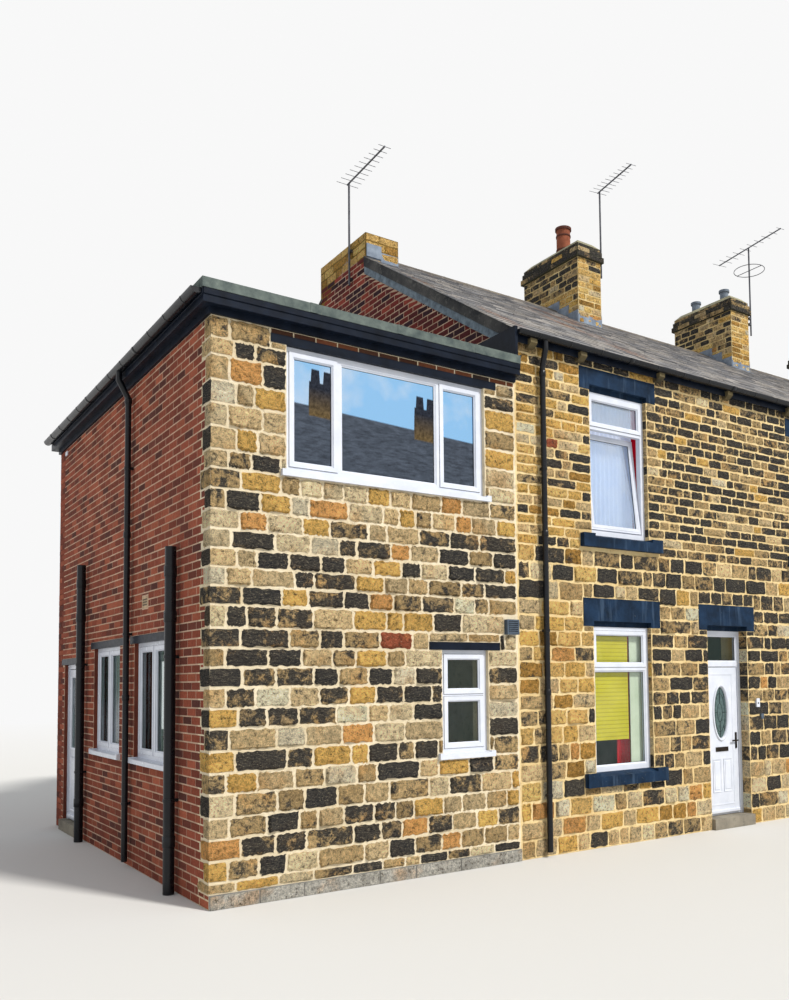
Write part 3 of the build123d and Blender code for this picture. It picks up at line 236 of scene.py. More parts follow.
GABLE_STACK_COURSES = (0.12, 0.123)
MOSS_UNDER_CAP = 0.15
SOOT_UNDER_CAP = 0.55
COURSE_SPREAD = (0.94, 1.06)
LEAST_COURSE = 0.05
LEAST_LAP = 0.045
LEAST_STONE_ROW = 0.045
LEAST_STONE = (0.03, 0.02)
LEAST_BRICK = 0.025
STONE_SHOULDER = 0.022
STONE_EDGE = 0.003
STONE_DEPTH = 0.014
STONE_RAGGED = 0.026
FULL_COURSE = 0.15
STONE_BREAKS = 4
QUOIN_LENGTHS = ((0.14, 0.2), (0.22, 0.32))
QUOIN_DEPTHS = (0.15, 0.24)
QUOIN_BULGE = 0.014
QUOIN_EDGE = 0.004
QUOIN_GAP = 0.011
SOOTY_QUOINS = (3, 5, 8, 11, 14, 19, 23)
BRICK_LENGTH = 0.241
BRICK_GAUGE = 0.082
BRICK_JOINT = 0.013
BRICK_PROUD = 0.003
BRICK_ARRIS = 0.003
BRICK_DEPTH = 0.006
PLINTH_LENGTHS = (0.4, 0.9)
PLINTH_GAP = 0.006
EAVES_EXPOSURE = 0.21
EXPOSURE_LOSS = 0.08
SLATE_WIDTHS = (0.2, 0.38)
SLATE_GAP = 0.004
SLATE_LIFT = 0.012

# Colours, as 8-bit screen values. After a stone's colour come its soot and how common it is in
# clean, mixed, dark, mossy and yellow walling, and after a brick's how common it is.
STONES = (
    ((244, 222, 178), 0.06, 14, 5, 1, 0, 2),
    ((250, 236, 202), 0.00, 9, 3, 0, 0, 2),
    ((238, 208, 156), 0.08, 16, 12, 3, 8, 3),
    ((246, 198, 112), 0.06, 17, 10, 2, 16, 20),
    ((232, 172, 104), 0.1, 6, 3, 0, 4, 1),
    ((224, 198, 152), 0.24, 7, 9, 4, 4, 1),
    ((210, 180, 130), 0.38, 10, 14, 12, 12, 4),
    ((190, 162, 116), 0.56, 7, 15, 24, 10, 0),
    ((172, 148, 110), 0.76, 6, 16, 30, 6, 0),
    ((140, 126, 104), 0.95, 5, 14, 30, 18, 0),
    ((178, 98, 72), 0.16, 0.25, 0, 0, 0, 0),
    ((250, 206, 128), 0.08, 0, 0, 0, 40, 40),
    ((196, 150, 78), 0.2, 0, 0, 0, 6, 30),
)
CLEAN, MIXED, DARK, MOSSY, YELLOW = 2, 3, 4, 5, 6
PLINTH_STONE = (206, 202, 192)
BRICKS = (((142, 76, 58), 34), ((124, 66, 52), 30), ((158, 88, 66), 18), ((106, 60, 50), 12),
          ((88, 54, 48), 6))
DARK_BRICKS = (((112, 48, 44), 34), ((88, 42, 42), 28), ((136, 62, 52), 14), ((54, 36, 42), 24))
FRIEZE_BRICKS = (((116, 70, 48), 30), ((78, 52, 40), 40), ((146, 92, 60), 20), ((52, 44, 40), 10))
SLATES = ((152, 149, 147), (138, 137, 138), (165, 160, 155), (122, 122, 125))
NO_TONE = (1, 1, 1, 0)
# Specular level of rough surfaces
MATT = 0.08

# A painted reflection in the upper windows: a ridge line that falls to the right, with stacks and pots
# on it
MIRRORED_RIDGE = 4.43
MIRRORED_FALL = 0.05
MIRRORED_STACK_GAP = 1.244
MIRRORED_STACK_SHIFT = 0.097
MIRRORED_STACK_RISE = 0.25
MIRRORED_POT_RISE = 0.13

# Camera, solved from the photograph
CAMERA_PLACE = (-2.928, -8.111, 2.038)
CAMERA_YAW = 0.621
CAMERA_PITCH = 0.058
CAMERA_ROLL = -0.012
CAMERA_LENS = 32.81
CAMERA_SHIFT = (-0.0716, 0.127)

# Light
BACKDROP = 0.94
WORLD_LIGHT = 0.62
SUN_STRENGTH = 3.4
SUN_FROM = (0.45, -1.0, 1.1)
SUN_WIDTH = math.radians(7)
SUN_COLOUR = (1.0, 0.97, 0.92)
SKY_COLOUR = (0.93, 0.96, 1.0, 1)
FLOOR_REACH = 90
FLOOR_FADE = (14, 42)


def srgb(red, green, blue):
    """A linear colour from the 8-bit values that it has on a screen."""
    linear = []
    for value in (red, green, blue):
        value /= 255
        linear.append(value / 12.92 if value <= 0.04045 else ((value + 0.055) / 1.055) ** 2.4)
    return tuple(linear)


def roof_z(y):
    """Height of the outer roof surface at a depth y."""
    return EAVES_Z + min(y, HOUSE_DEPTH - y) * TAN_PITCH


def under_roof_z(y):
    """Height of the roof's underside at a depth y."""
    return roof_z(y) - ROOF_DROP


def grown(rect, by):
    """A rectangle made larger on every side."""
    return (rect[0] - by, rect[1] + by, rect[2] - by, rect[3] + by)


class Face:
    """A flat surface of the building, with u along it, v up it and w out of it."""

    def __init__(self, origin, along, up=(0, 0, 1), flipped=False):
        self.origin = Vector(origin) + Vector((CORNER.x, CORNER.y, 0))
        self.along = Vector(along)
        self.up = Vector(up)
        self.out = self.along.cross(self.up) * (-1 if flipped else 1)
        self.flipped = flipped

    def point(self, u, v, w):
        return tuple(self.origin + self.along * u + self.up * v + self.out * w)

    def moved(self, w):
        """The same surface, further out by w."""
        other = Face((0, 0, 0), self.along, self.up, self.flipped)
        other.origin = self.origin + self.out * w
        return other


FRONT = Face((0, 0, 0), (1, 0, 0))
SIDE = Face((0, 0, 0), (0, 1, 0), flipped=True)
EXT_BACK = Face((0, EXT_DEPTH, 0), (1, 0, 0), flipped=True)
BACK = Face((0, HOUSE_DEPTH, 0), (1, 0, 0), flipped=True)
GABLE = Face((EXT_WIDTH, 0, 0), (0, 1, 0), flipped=True)
END = Face((ROW_END, 0, 0), (0, 1, 0))
EAVES_FOOT = EAVES_Z - EAVES_OUT * TAN_PITCH
SLOPES = (Face((0, -EAVES_OUT, EAVES_FOOT), (1, 0, 0), (0, COS_PITCH, SIN_PITCH)),
          Face((0, HOUSE_DEPTH + EAVES_OUT, EAVES_FOOT), (1, 0, 0), (0, -COS_PITCH, SIN_PITCH), True))
SASH = Face(SASH_CORNER, (1, 0, 0), (0, math.sin(SASH_TILT), math.cos(SASH_TILT)))


class Mesh:
    """Vertices, faces and one tone for each face, gathered until they become a piece."""

    def __init__(self):
        self.points = []
        self.faces = []
        self.tones = []
        self.smooth = []

    def add(self, face, points, faces, tone=NO_TONE, smooth=False):
        """Add faces whose points are given as u, v and w on a surface of the building."""
        start = len(self.points)
        self.points += [face.point(*p) for p in points]
        for loop in faces:
            loop = [start + k for k in loop]
            self.faces.append(loop[::-1] if face.flipped else loop)
            self.tones.append(tone)
            self.smooth.append(smooth)

    def build(self, name, material, slot, body="row"):
        """Make the piece, which rides on a body. Its slot is not used."""
        data = bpy.data.meshes.new(name)
        data.from_pydata(self.points, [], self.faces)
        tones = data.color_attributes.new("tone", "FLOAT_COLOR", "CORNER")
        values = []
        for polygon, tone in zip(data.polygons, self.tones):
            values += list(tone) * polygon.loop_total
        tones.data.foreach_set("color", values)
        data.polygons.foreach_set("use_smooth", self.smooth)
        data.materials.append(material)
        data.update()
        piece = bpy.data.objects.new(name, data)
        bpy.context.scene.collection.objects.link(piece)
        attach(piece, body)
        return piece


def corners(rect):
    """A rectangle's corners, in the order that runs round it."""
    a, b, c, d = rect
    return (a, c), (b, c), (b, d), (a, d)


def grid_faces(columns, rows):
    """The faces of a grid whose points are listed row by row."""
    width = columns + 1
    return [(k, k + 1, k + width + 1, k + width)
            for j in range(rows) for k in range(j * width, j * width + columns)]


def prism(mesh, face, outline, back, front):
    """A flat plate on a face, from an outline that runs round it with u first."""
    count = len(outline)
    points = [(u, v, w) for w in (back, front) for u, v in outline]
    faces = [tuple(range(count, 2 * count)), tuple(range(count - 1, -1, -1))]
    faces += [(k, (k + 1) % count, (k + 1) % count + count, k + count) for k in range(count)]
    mesh.add(face, points, faces)


def block(mesh, face, outer, inner, back, front, bevel, tone, closed=True):
    """A block on four outer corners, whose edges are taken off to four inner ones at its front."""
    rims = ((outer, back), (outer, front - bevel), (inner, front))
    faces = [(8, 9, 10, 11)]
    if closed:
        faces.append((3, 2, 1, 0))
    for k in range(4):
        m = (k + 1) % 4
        faces += [(k + 4, m + 4, m + 8, k + 8), (k, m, m + 4, k + 4)]
    mesh.add(face, [(*corner, w) for rim, w in rims for corner in rim], faces, tone)


def slab(mesh, face, rect, back, front, tone=NO_TONE, bevel=0.002):
    """A block on a face, between two distances from it, with its front edges taken off."""
    block(mesh, face, corners(rect), corners(grown(rect, -bevel)), back, front, bevel, tone)


def ring(mesh, face, rect, width, back, front, slope=0.0):
    """A mitred bar inside a rectangle's edge, whose front may slope back towards the middle."""
    outer, inner = corners(rect), corners(grown(rect, -width))
    rims = ((outer, back), (outer, front), (inner, front - slope), (inner, back))
    faces = []
    for k in range(4):
        m = (k + 1) % 4
        faces += [(k + r, m + r, m + r + 4, k + r + 4) for r in (0, 4, 8)]
    mesh.add(face, [(*corner, w) for rim, w in rims for corner in rim], faces)


def oval_ring(mesh, face, centre, radii, width, back, front, steps=48):
    """A rounded rim along an oval, widening outwards from its radii."""
    rounded = front - 0.2 * (front - back)
    profile = ((0.0, back), (0.12, rounded), (0.5, front), (0.88, rounded), (1.0, back))
    points = []
    for n in range(steps):
        angle = 2 * math.pi * n / steps
        for share, w in profile:
            u = centre[0] + math.cos(angle) * (radii[0] + width * share)
            v = centre[1] + math.sin(angle) * (radii[1] + width * share)
            points.append((u, v, w))
    count = len(profile)
    faces = []
    for n in range(steps):
        a, b = n * count, (n + 1) % steps * count
        faces += [(a + k, a + k + 1, b + k + 1, b + k) for k in range(count - 1)]
    mesh.add(face, points, faces, smooth=True)


def hoop(mesh, foot, top, radius, embed=0.008, sweep=2 * math.pi):
    """A band round a pipe or, with half a sweep, under a gutter. It reaches embed into it."""
    axis = Vector(top) - Vector(foot)
    length = axis.length
    down = Vector((0, 0, -1)) if abs(axis.z) < length / 2 else Vector((0, 1, 0))
    end = Face(foot, down.cross(axis / length), down)
    rims = ((0, radius - embed), (0, radius - HOOP_LIP), (HOOP_LIP, radius),
            (length - HOOP_LIP, radius), (length, radius - HOOP_LIP), (length, radius - embed))
    turns = [sweep * n / HOOP_SIDES for n in range(HOOP_SIDES + 1)]
    points = [(reach * math.cos(a), reach * math.sin(a), w) for w, reach in rims for a in turns]
    mesh.add(end, points, grid_faces(HOOP_SIDES, len(rims) - 1), smooth=True)


# Materials
class Nodes:
    """The nodes of a material or a world, made with short calls."""

    def __init__(self, tree):
        self.tree = tree

    def put(self, socket, value):
        """Link a socket, or set a value. Three numbers on a colour socket are 8-bit values."""
        if isinstance(value, bpy.types.NodeSocket):
            self.tree.links.new(value, socket)
        elif isinstance(value, tuple) and len(value) == 3 and len(socket.default_value) == 4:
            socket.default_value = (*srgb(*value), 1)
        else:
            socket.default_value = value

    def fill(self, node, values):
        """Put values into a node's inputs by their names."""
        for name, value in values.items():
            self.put(node.inputs[name.replace("_", " ")], value)

    def node(self, kind, **values):
        """A new node with its inputs filled."""
        node = self.tree.nodes.new("ShaderNode" + kind)
        self.fill(node, values)
        return node

    def maths(self, kind, first, second=0.0):
        node = self.node("Math")
        node.operation = kind
        self.put(node.inputs[0], first)
        self.put(node.inputs[1], second)
        return node.outputs[0]

    def blend(self, amount, first, second, output="Material Output"):
        """Mix two shader nodes on the surface."""
        node = self.node("MixShader")
        self.put(node.inputs[0], amount)
        self.put(node.inputs[1], first.outputs[0])
        self.put(node.inputs[2], second.outputs[0])
        self.put(self.tree.nodes[output].inputs["Surface"], node.outputs[0])


class Maker(Nodes):
    """A new material and its nodes."""

    def __init__(self, name):
        self.material = bpy.data.materials.new(name)
        self.material.use_nodes = True
        super().__init__(self.material.node_tree)
        self.shader = self.tree.nodes["Principled BSDF"]
        self.coords = self.node("TexCoord").outputs["Object"]

    def set(self, **values):
        self.fill(self.shader, values)

    def mapped(self, scale, turn=0.0):
        node = self.node("Mapping", Scale=scale, Rotation=(turn, turn, 0), Vector=self.coords)
        return node.outputs["Vector"]

    def noise(self, scale, detail=4.0, rough=0.6, coords=None, distortion=0.0):
        node = self.node("TexNoise", Scale=scale, Detail=detail, Roughness=rough,
                         Distortion=distortion, Vector=coords or self.coords)
        return node.outputs["Fac"]

    def level(self, value, low, high, to_low=0.0, to_high=1.0):
        node = self.node("MapRange", Value=value, From_Min=low, From_Max=high, To_Min=to_low,
                         To_Max=to_high)
        return node.outputs["Result"]

    def mix(self, amount, first, second, kind="MIX"):
        node = self.node("Mix")
        node.data_type = "RGBA"
        node.blend_type = kind
        self.put(node.inputs["Factor"], amount)
        self.put(node.inputs[6], first)
        self.put(node.inputs[7], second)
        return node.outputs[2]

    def shade(self, colour, value):
        """The colour made darker or lighter by a value round 1."""
        return self.mix(1.0, colour, value, "MULTIPLY")

    def tone(self):
        node = self.node("Attribute")
        node.attribute_name = "tone"
        return node.outputs["Color"], node.outputs["Alpha"]

    def place(self, axis="Z"):
        """How far a point lies along an axis."""
        return self.node("SeparateXYZ", Vector=self.coords).outputs[axis]

    def bump(self, height, distance, strength=1.0):
        node = self.node("Bump", Strength=strength, Distance=distance, Height=height)
        self.put(self.shader.inputs["Normal"], node.outputs["Normal"])


def stone_material():
    """Tooled sandstone. A stone's alpha is how far soot hides its own colour."""
    m = Maker("rock_faced_stone")
    tone, soot = m.tone()
    broad = m.noise(6.5, 4, 0.65, distortion=0.6)
    rough = m.noise(26, 6, 0.8)
    fine = m.noise(90, 4, 0.8)
    chisel = m.noise(9, 5, 0.7, m.mapped((3.2, 3.2, 11), 0.6), distortion=0.8)
    colour = m.mix(m.level(m.noise(3.3, 3), 0.52, 0.7, 0.0, 0.4), tone, (226, 168, 92))
    colour = m.shade(colour, m.level(broad, 0.3, 0.7, 0.82, 1.2))
    colour = m.shade(colour, m.level(rough, 0.38, 0.62, 0.62, 1.42))
    colour = m.shade(colour, m.level(fine, 0.38, 0.62, 0.72, 1.28))
    # Dark brown where the rough grain lies lowest in the bump: partly dirt in the pits, partly painted
    # shade in them.
    colour = m.mix(m.level(rough, 0.43, 0.36, 0.0, 0.85), colour, (88, 70, 46))
    worn = m.maths("ADD", m.level(rough, 0.3, 0.7, 0.2, -0.2), m.level(broad, 0.34, 0.66, 0.24, -0.3))
    sooty = m.level(m.maths("ADD", worn, soot), 0.42, 0.62, 0.0, 0.94)
    black = m.mix(m.level(chisel, 0.38, 0.66), (34, 40, 50), (104, 100, 92))
    colour = m.mix(sooty, colour, black)
    # Pale flecks where chisel marks and fine grain stand highest in the bump: partly worn stone, partly
    # painted highlight.
    pale = m.level(m.maths("ADD", fine, chisel), 1.12, 1.26, 0.0, 0.6)
    m.set(Base_Color=m.mix(pale, colour, (236, 218, 180)), Roughness=0.95, Specular_IOR_Level=MATT)
    relief = m.maths("ADD", m.maths("MULTIPLY", chisel, 1.3), rough)
    m.bump(m.maths("ADD", relief, m.maths("MULTIPLY", fine, 0.4)), 0.06)
    return m.material


def brick_material():
    """Facing brick: each its own tone, with dark and pale patches over several."""
    m = Maker("facing_brick")
    tone, _ = m.tone()
    colour = m.shade(tone, m.level(m.noise(30, 5, 0.7), 0.3, 0.7, 0.75, 1.25))
    colour = m.mix(m.level(m.noise(2.2, 4), 0.5, 0.72, 0.0, 0.3), colour, (82, 44, 40))
    colour = m.mix(m.level(m.noise(60, 4, 0.7), 0.64, 0.74, 0.0, 0.5), colour, (184, 116, 88))
    m.set(Base_Color=colour, Roughness=0.9, Specular_IOR_Level=MATT)
    m.bump(m.noise(140, 4, 0.7), 0.006, 0.7)
    return m.material


def mortar(name, light, dark, stain):
    """Mortar or plain dressed stone: broad shades, grains and blotches of a stain."""
    m = Maker(name)
    colour = m.mix(m.level(m.noise(2.4, 5, 0.6), 0.35, 0.7), light, dark)
    colour = m.shade(colour, m.level(m.noise(200, 3), 0.3, 0.7, 0.82, 1.1))
    colour = m.mix(m.level(m.noise(11, 6, 0.75), 0.54, 0.72, 0.0, 0.6), colour, stain)
    m.set(Base_Color=colour, Roughness=0.95, Specular_IOR_Level=MATT)
    m.bump(m.noise(70, 5, 0.75), 0.014, 0.9)
    return m.material


def plain(name, light, dark, rough, scale=3.0, bump_scale=60.0, bump=0.002, metal=0.0,
          specular=MATT):
    """A painted, cast or moulded surface with slow stains and a fine texture."""
    m = Maker(name)
    stain = m.level(m.noise(scale, 6, 0.65), 0.3, 0.75)
    m.set(Base_Color=m.mix(stain, light, dark), Metallic=metal, Specular_IOR_Level=specular,
          Roughness=m.level(m.noise(scale * 4, 4), 0.3, 0.7, rough * 0.85, min(1, rough * 1.15)))
    m.bump(m.noise(bump_scale, 4, 0.6), bump, 0.6)
    return m.material


def painted_stone_material():
    """Navy paint on stone, with pale drips, and flaked patches on what lies low."""
    m = Maker("painted_stone")
    base = m.mix(m.level(m.noise(5, 5), 0.3, 0.7), (30, 52, 78), (15, 28, 43))
    drips = m.level(m.noise(2.6, 4, 0.6, m.mapped((5.0, 5.0, 0.5))), 0.56, 0.72, 0.0, 0.34)
    base = m.mix(drips, base, (86, 108, 134))
    flakes = m.level(m.noise(26, 6, 0.75), 0.66, 0.71, 0.0, 0.7)
    flakes = m.maths("MULTIPLY", flakes, m.level(m.place(), 3.2, 2.6))
    m.set(Base_Color=m.mix(flakes, base, (176, 180, 180)), Roughness=0.6,
          Specular_IOR_Level=MATT)
    m.bump(m.noise(40, 5, 0.65), 0.006, 0.6)
    return m.material


def slate_material():
    """Stone slates: grey, each a little different, with rusty runs and lichen."""
    m = Maker("stone_slate")
    tone, _ = m.tone()
    colour = m.shade(tone, m.level(m.noise(7, 7, 0.75), 0.3, 0.7, 0.76, 1.22))
    streak = m.noise(1.1, 4, 0.6, m.mapped((1.0, 0.35, 0.35)))
    colour = m.mix(m.level(streak, 0.6, 0.74, 0.0, 0.55), colour, (176, 122, 78))
    colour = m.mix(m.level(m.noise(26, 6, 0.8), 0.58, 0.66, 0.0, 0.5), colour, (190, 182, 166))
    m.set(Base_Color=colour, Roughness=0.9, Specular_IOR_Level=MATT)
    m.bump(m.noise(45, 6, 0.7), 0.01, 0.9)
    return m.material


def painted_roof_reflection(m, sky, slates):
    """A painted reflection: the sky over slates, whose ridge line falls to the right and carries
    chimney stacks.
    """
    rows = m.noise(9, 3, 0.7, m.mapped((1, 1, 4)))
    slates = m.shade(slates, m.level(rows, 0.3, 0.7, 0.6, 1.45))
    edge = m.maths("ADD", m.place(), m.maths("MULTIPLY", m.place("X"), MIRRORED_FALL))
    gaps = m.maths("ADD", m.maths("DIVIDE", m.place("X"), MIRRORED_STACK_GAP), MIRRORED_STACK_SHIFT)
    off = m.maths("ABSOLUTE", m.maths("SUBTRACT", m.maths("FRACT", gaps), 0.5))
    stack = m.level(off, 0.11, 0.116, 1.0, 0.0)
    pots = m.level(m.maths("ABSOLUTE", m.maths("SUBTRACT", off, 0.055)), 0.034, 0.042, 1.0, 0.0)
    foot = m.level(edge, MIRRORED_RIDGE - 0.1, MIRRORED_RIDGE - 0.08)
    soot = m.level(edge, MIRRORED_RIDGE - 0.1, MIRRORED_RIDGE + 0.2)
    speckle = m.level(m.noise(30, 3), 0.35, 0.65, 0.6, 1.4)
    stone = m.shade(m.mix(soot, (120, 100, 66), (52, 56, 66)), speckle)
    slates = m.mix(m.maths("MULTIPLY", stack, foot), slates, stone)
    rise = m.maths("ADD", m.maths("MULTIPLY", stack, MIRRORED_STACK_RISE),
                   m.maths("MULTIPLY", pots, MIRRORED_POT_RISE))
    over = m.level(m.maths("SUBTRACT", edge, rise), MIRRORED_RIDGE, MIRRORED_RIDGE + 0.015)
    return m.mix(over, slates, sky)


def glass(name, sky, shine, slates=None):
    """Double glazing whose mirror colour is a painted reflection of a cloudy sky and, where a colour is
    given for their slates, of roofs.
    """
    m = Maker(name)
    painted_clouds = m.level(m.noise(0.9, 4, 0.55), 0.5, 0.66, 0.0, 0.75)
    sky = m.mix(painted_clouds, sky, (240, 245, 252))
    if slates:
        sky = painted_roof_reflection(m, sky, slates)
    clear = m.node("BsdfTransparent", Color=(0.96, 0.98, 0.98, 1))
    mirror = m.node("BsdfGlossy", Color=sky, Roughness=0.04)
    facing = m.node("LayerWeight", Blend=0.35).outputs["Facing"]
    m.blend(m.level(facing, 0.5, 1.0, shine, 1.0), clear, mirror)
    return m.material


def cloth(name, light, dark, glow, slats=0.0):
    """Woven cloth, or the slats of a blind. Its glow stands for daylight that comes through it."""
    m = Maker(name)
    weave = m.noise(900, 2, 0.5)
    colour = m.mix(m.level(m.noise(4, 4), 0.3, 0.7), light, dark)
    colour = m.shade(colour, m.level(weave, 0.3, 0.7, 0.9, 1.08))
    if slats:
        # Bands of painted shade between the slats of a blind, one to each slat.
        wave = m.maths("SINE", m.maths("MULTIPLY", m.place(), 2 * math.pi / slats))
        colour = m.shade(colour, m.level(wave, 0.4, 1.0, 1.0, 0.72))
    m.set(Base_Color=colour, Roughness=0.9, Specular_IOR_Level=MATT, Emission_Color=colour,
          Emission_Strength=glow)
    m.bump(weave, 0.0004, 0.5)
    return m.material


STONE = stone_material()
BRICK = brick_material()
EXT_MORTAR = mortar("cream_mortar", (244, 230, 200), (222, 204, 168), (150, 132, 102))
HOUSE_MORTAR = mortar("tan_mortar", (246, 222, 168), (222, 192, 136), (166, 138, 92))
MOSSY_MORTAR = mortar("mossy_mortar", (150, 120, 60), (104, 84, 44), (64, 56, 40))
SLATE_EDGES = mortar("slate_edges", (96, 94, 92), (50, 52, 56), (140, 138, 130))
STACK_MORTAR = mortar("sooty_mortar", (232, 208, 152), (176, 150, 100), (76, 66, 48))
BRICK_MORTAR = mortar("brick_mortar", (222, 192, 166), (190, 158, 134), (136, 104, 84))
BRICK_REVEAL = mortar("brick_reveal", (132, 72, 56), (104, 56, 46), (70, 42, 38))
ROOF_STONE = mortar("roof_stone", (136, 128, 120), (96, 92, 90), (150, 136, 84))
CEMENT = mortar("cement", (176, 170, 140), (120, 118, 102), (84, 84, 62))
DRESSED = mortar("dressed_stone", (164, 156, 140), (120, 114, 104), (72, 70, 66))
CORBEL_STONE = mortar("corbel_stone", (132, 118, 84), (62, 60, 54), (36, 38, 40))
CAP_STONE = mortar("sooty_cap_stone", (86, 84, 66), (48, 50, 46), (30, 32, 34))
# Dark plaster for the room walls behind the glass: its darkness is painted shade for the dim rooms.
PLASTER_IN_PAINTED_SHADE = plain("plaster_in_painted_shade", (128, 122, 112), (104, 100, 92), 0.9)
CONCRETE = plain("concrete", (150, 148, 142), (104, 104, 100), 0.9, 5, 90, 0.006)
TIMBER = plain("floor_boards", (120, 92, 66), (92, 70, 50), 0.6, 3)
FELT = plain("mineral_felt", (114, 124, 118), (60, 70, 72), 0.9, 7, 300, 0.003)
NAVY = plain("navy_paint", (25, 33, 47), (10, 14, 21), 0.36, 6, 30, 0.002)
FADED_NAVY = plain("faded_navy_paint", (134, 148, 158), (52, 62, 76), 0.6, 9, 40, 0.004)
BLACK_PLASTIC = plain("black_plastic", (18, 21, 27), (10, 12, 16), 0.3, 4, 20, 0.001, specular=0.3)
WHITE_PLASTIC = plain("white_plastic", (222, 226, 236), (202, 208, 220), 0.25, 5, 20, 0.0005,
                      specular=0.4)
GREY_PLASTIC = plain("grey_plastic", (92, 104, 118), (62, 72, 84), 0.4, 12, 40, 0.001)
GASKET = plain("black_rubber", (24, 25, 28), (14, 15, 17), 0.6, 9, 90, 0.0005)
DARK_METAL = plain("dark_bronze", (58, 50, 42), (34, 30, 28), 0.35, 8, 60, 0.001, 0.8)
LEAD = plain("lead", (150, 162, 176), (92, 102, 118), 0.55, 7, 40, 0.004)
ALUMINIUM = plain("weathered_aluminium", (96, 98, 104), (58, 58, 62), 0.4, 9, 60, 0.001, 0.6)
TERRACOTTA = plain("terracotta", (168, 100, 74), (116, 68, 52), 0.8, 6, 60, 0.003)
ZINC = plain("weathered_zinc", (134, 146, 160), (92, 98, 106), 0.6, 9, 60, 0.002)
SOOTY_CLAY = plain("sooty_clay", (112, 66, 54), (64, 46, 42), 0.8, 12, 60, 0.003)
CREAM_CLAY = plain("cream_clay", (214, 190, 158), (160, 132, 106), 0.8, 12, 60, 0.003)
OVAL_GLASS = plain("obscured_glass", (98, 118, 116), (54, 70, 72), 0.12, 22, 120, 0.004)
PAINTED_STONE = painted_stone_material()
SLATE = slate_material()
# The colours given to the glass below are painted reflections: a sky with roofs opposite in the upper
# panes, a sky colour alone in the others.
UPPER_GLASS = glass("upper_glass", (160, 212, 255), 0.9, (84, 92, 104))
CURTAINED_GLASS = glass("curtained_glass", (214, 232, 255), 0.34)
LOWER_GLASS = glass("lower_glass", (150, 176, 168), 0.05)
NET = cloth("net_cloth", (238, 242, 255), (218, 226, 248), 0.12)
RED_CLOTH = cloth("red_cloth", (222, 20, 50), (180, 12, 36), 0.08)
YELLOW_CLOTH = cloth("yellow_cloth", (204, 190, 50), (190, 175, 38), 0.08, 0.05)
PALE_CLOTH = cloth("pale_cloth", (206, 212, 190), (190, 198, 174), 0.06)

SLOT_MATERIALS = {
    "concrete": CONCRETE, "timber": TIMBER, "roof_felt": FELT, "painted_timber": NAVY,
    "black_plastic": BLACK_PLASTIC, "painted_stone": PAINTED_STONE, "white_plastic": WHITE_PLASTIC,
    "glass": LOWER_GLASS, "dark_metal": DARK_METAL, "stone_slate": ROOF_STONE, "mortar": CEMENT,
    "clay": TERRACOTTA, "lead": LEAD, "aluminium": ALUMINIUM, "coursed_stone": HOUSE_MORTAR,
    "red_brick": BRICK_MORTAR, "blind_cloth": YELLOW_CLOTH, "curtain_cloth": NET,
}
NODE_MATERIALS = {
    "extension_front_wall": EXT_MORTAR, "gutter_corbels": CORBEL_STONE, "thresholds": DRESSED,
    "extension_lintels": NAVY, "verge_boards": FADED_NAVY, "front_door_glass": OVAL_GLASS,
    "party_chimney_stacks": STACK_MORTAR, "gable_chimney_stack": MOSSY_MORTAR,
}
# Walls with a room behind them: the axis that they face along, and where their outer side is
INNER_WALLS = {
    "extension_front_wall": ("y", 0), "extension_side_wall": ("x", 0), "gable_wall": ("x", EXT_WIDTH),
    "extension_side_pier": ("x", 0), "extension_side_wall_over_door": ("x", 0),
    "front_wall_left": ("y", 0), "front_wall_right": ("y", 0), "front_wall_over_door": ("y", 0),
    "back_wall": ("y", HOUSE_DEPTH), "extension_back_wall": ("y", EXT_DEPTH),
    "party_walls": ("x", ROW_END),
}


def second_material(name, material, chosen):
    """Give a CAD node another material on the polygons that the test picks."""
    data = NODES[name].data
    data.materials.append(material)
    last = len(data.materials) - 1
    for polygon in data.polygons:
        if chosen(polygon):
            polygon.material_index = last


def faces_room(axis, outer):
    """A test for a wall's polygons that face a room."""
    index = "xy".index(axis)
    reach = outer + CORNER[index]
    return lambda p: abs(p.normal[index]) > 0.9 and abs(p.center[index] - reach) > 0.25


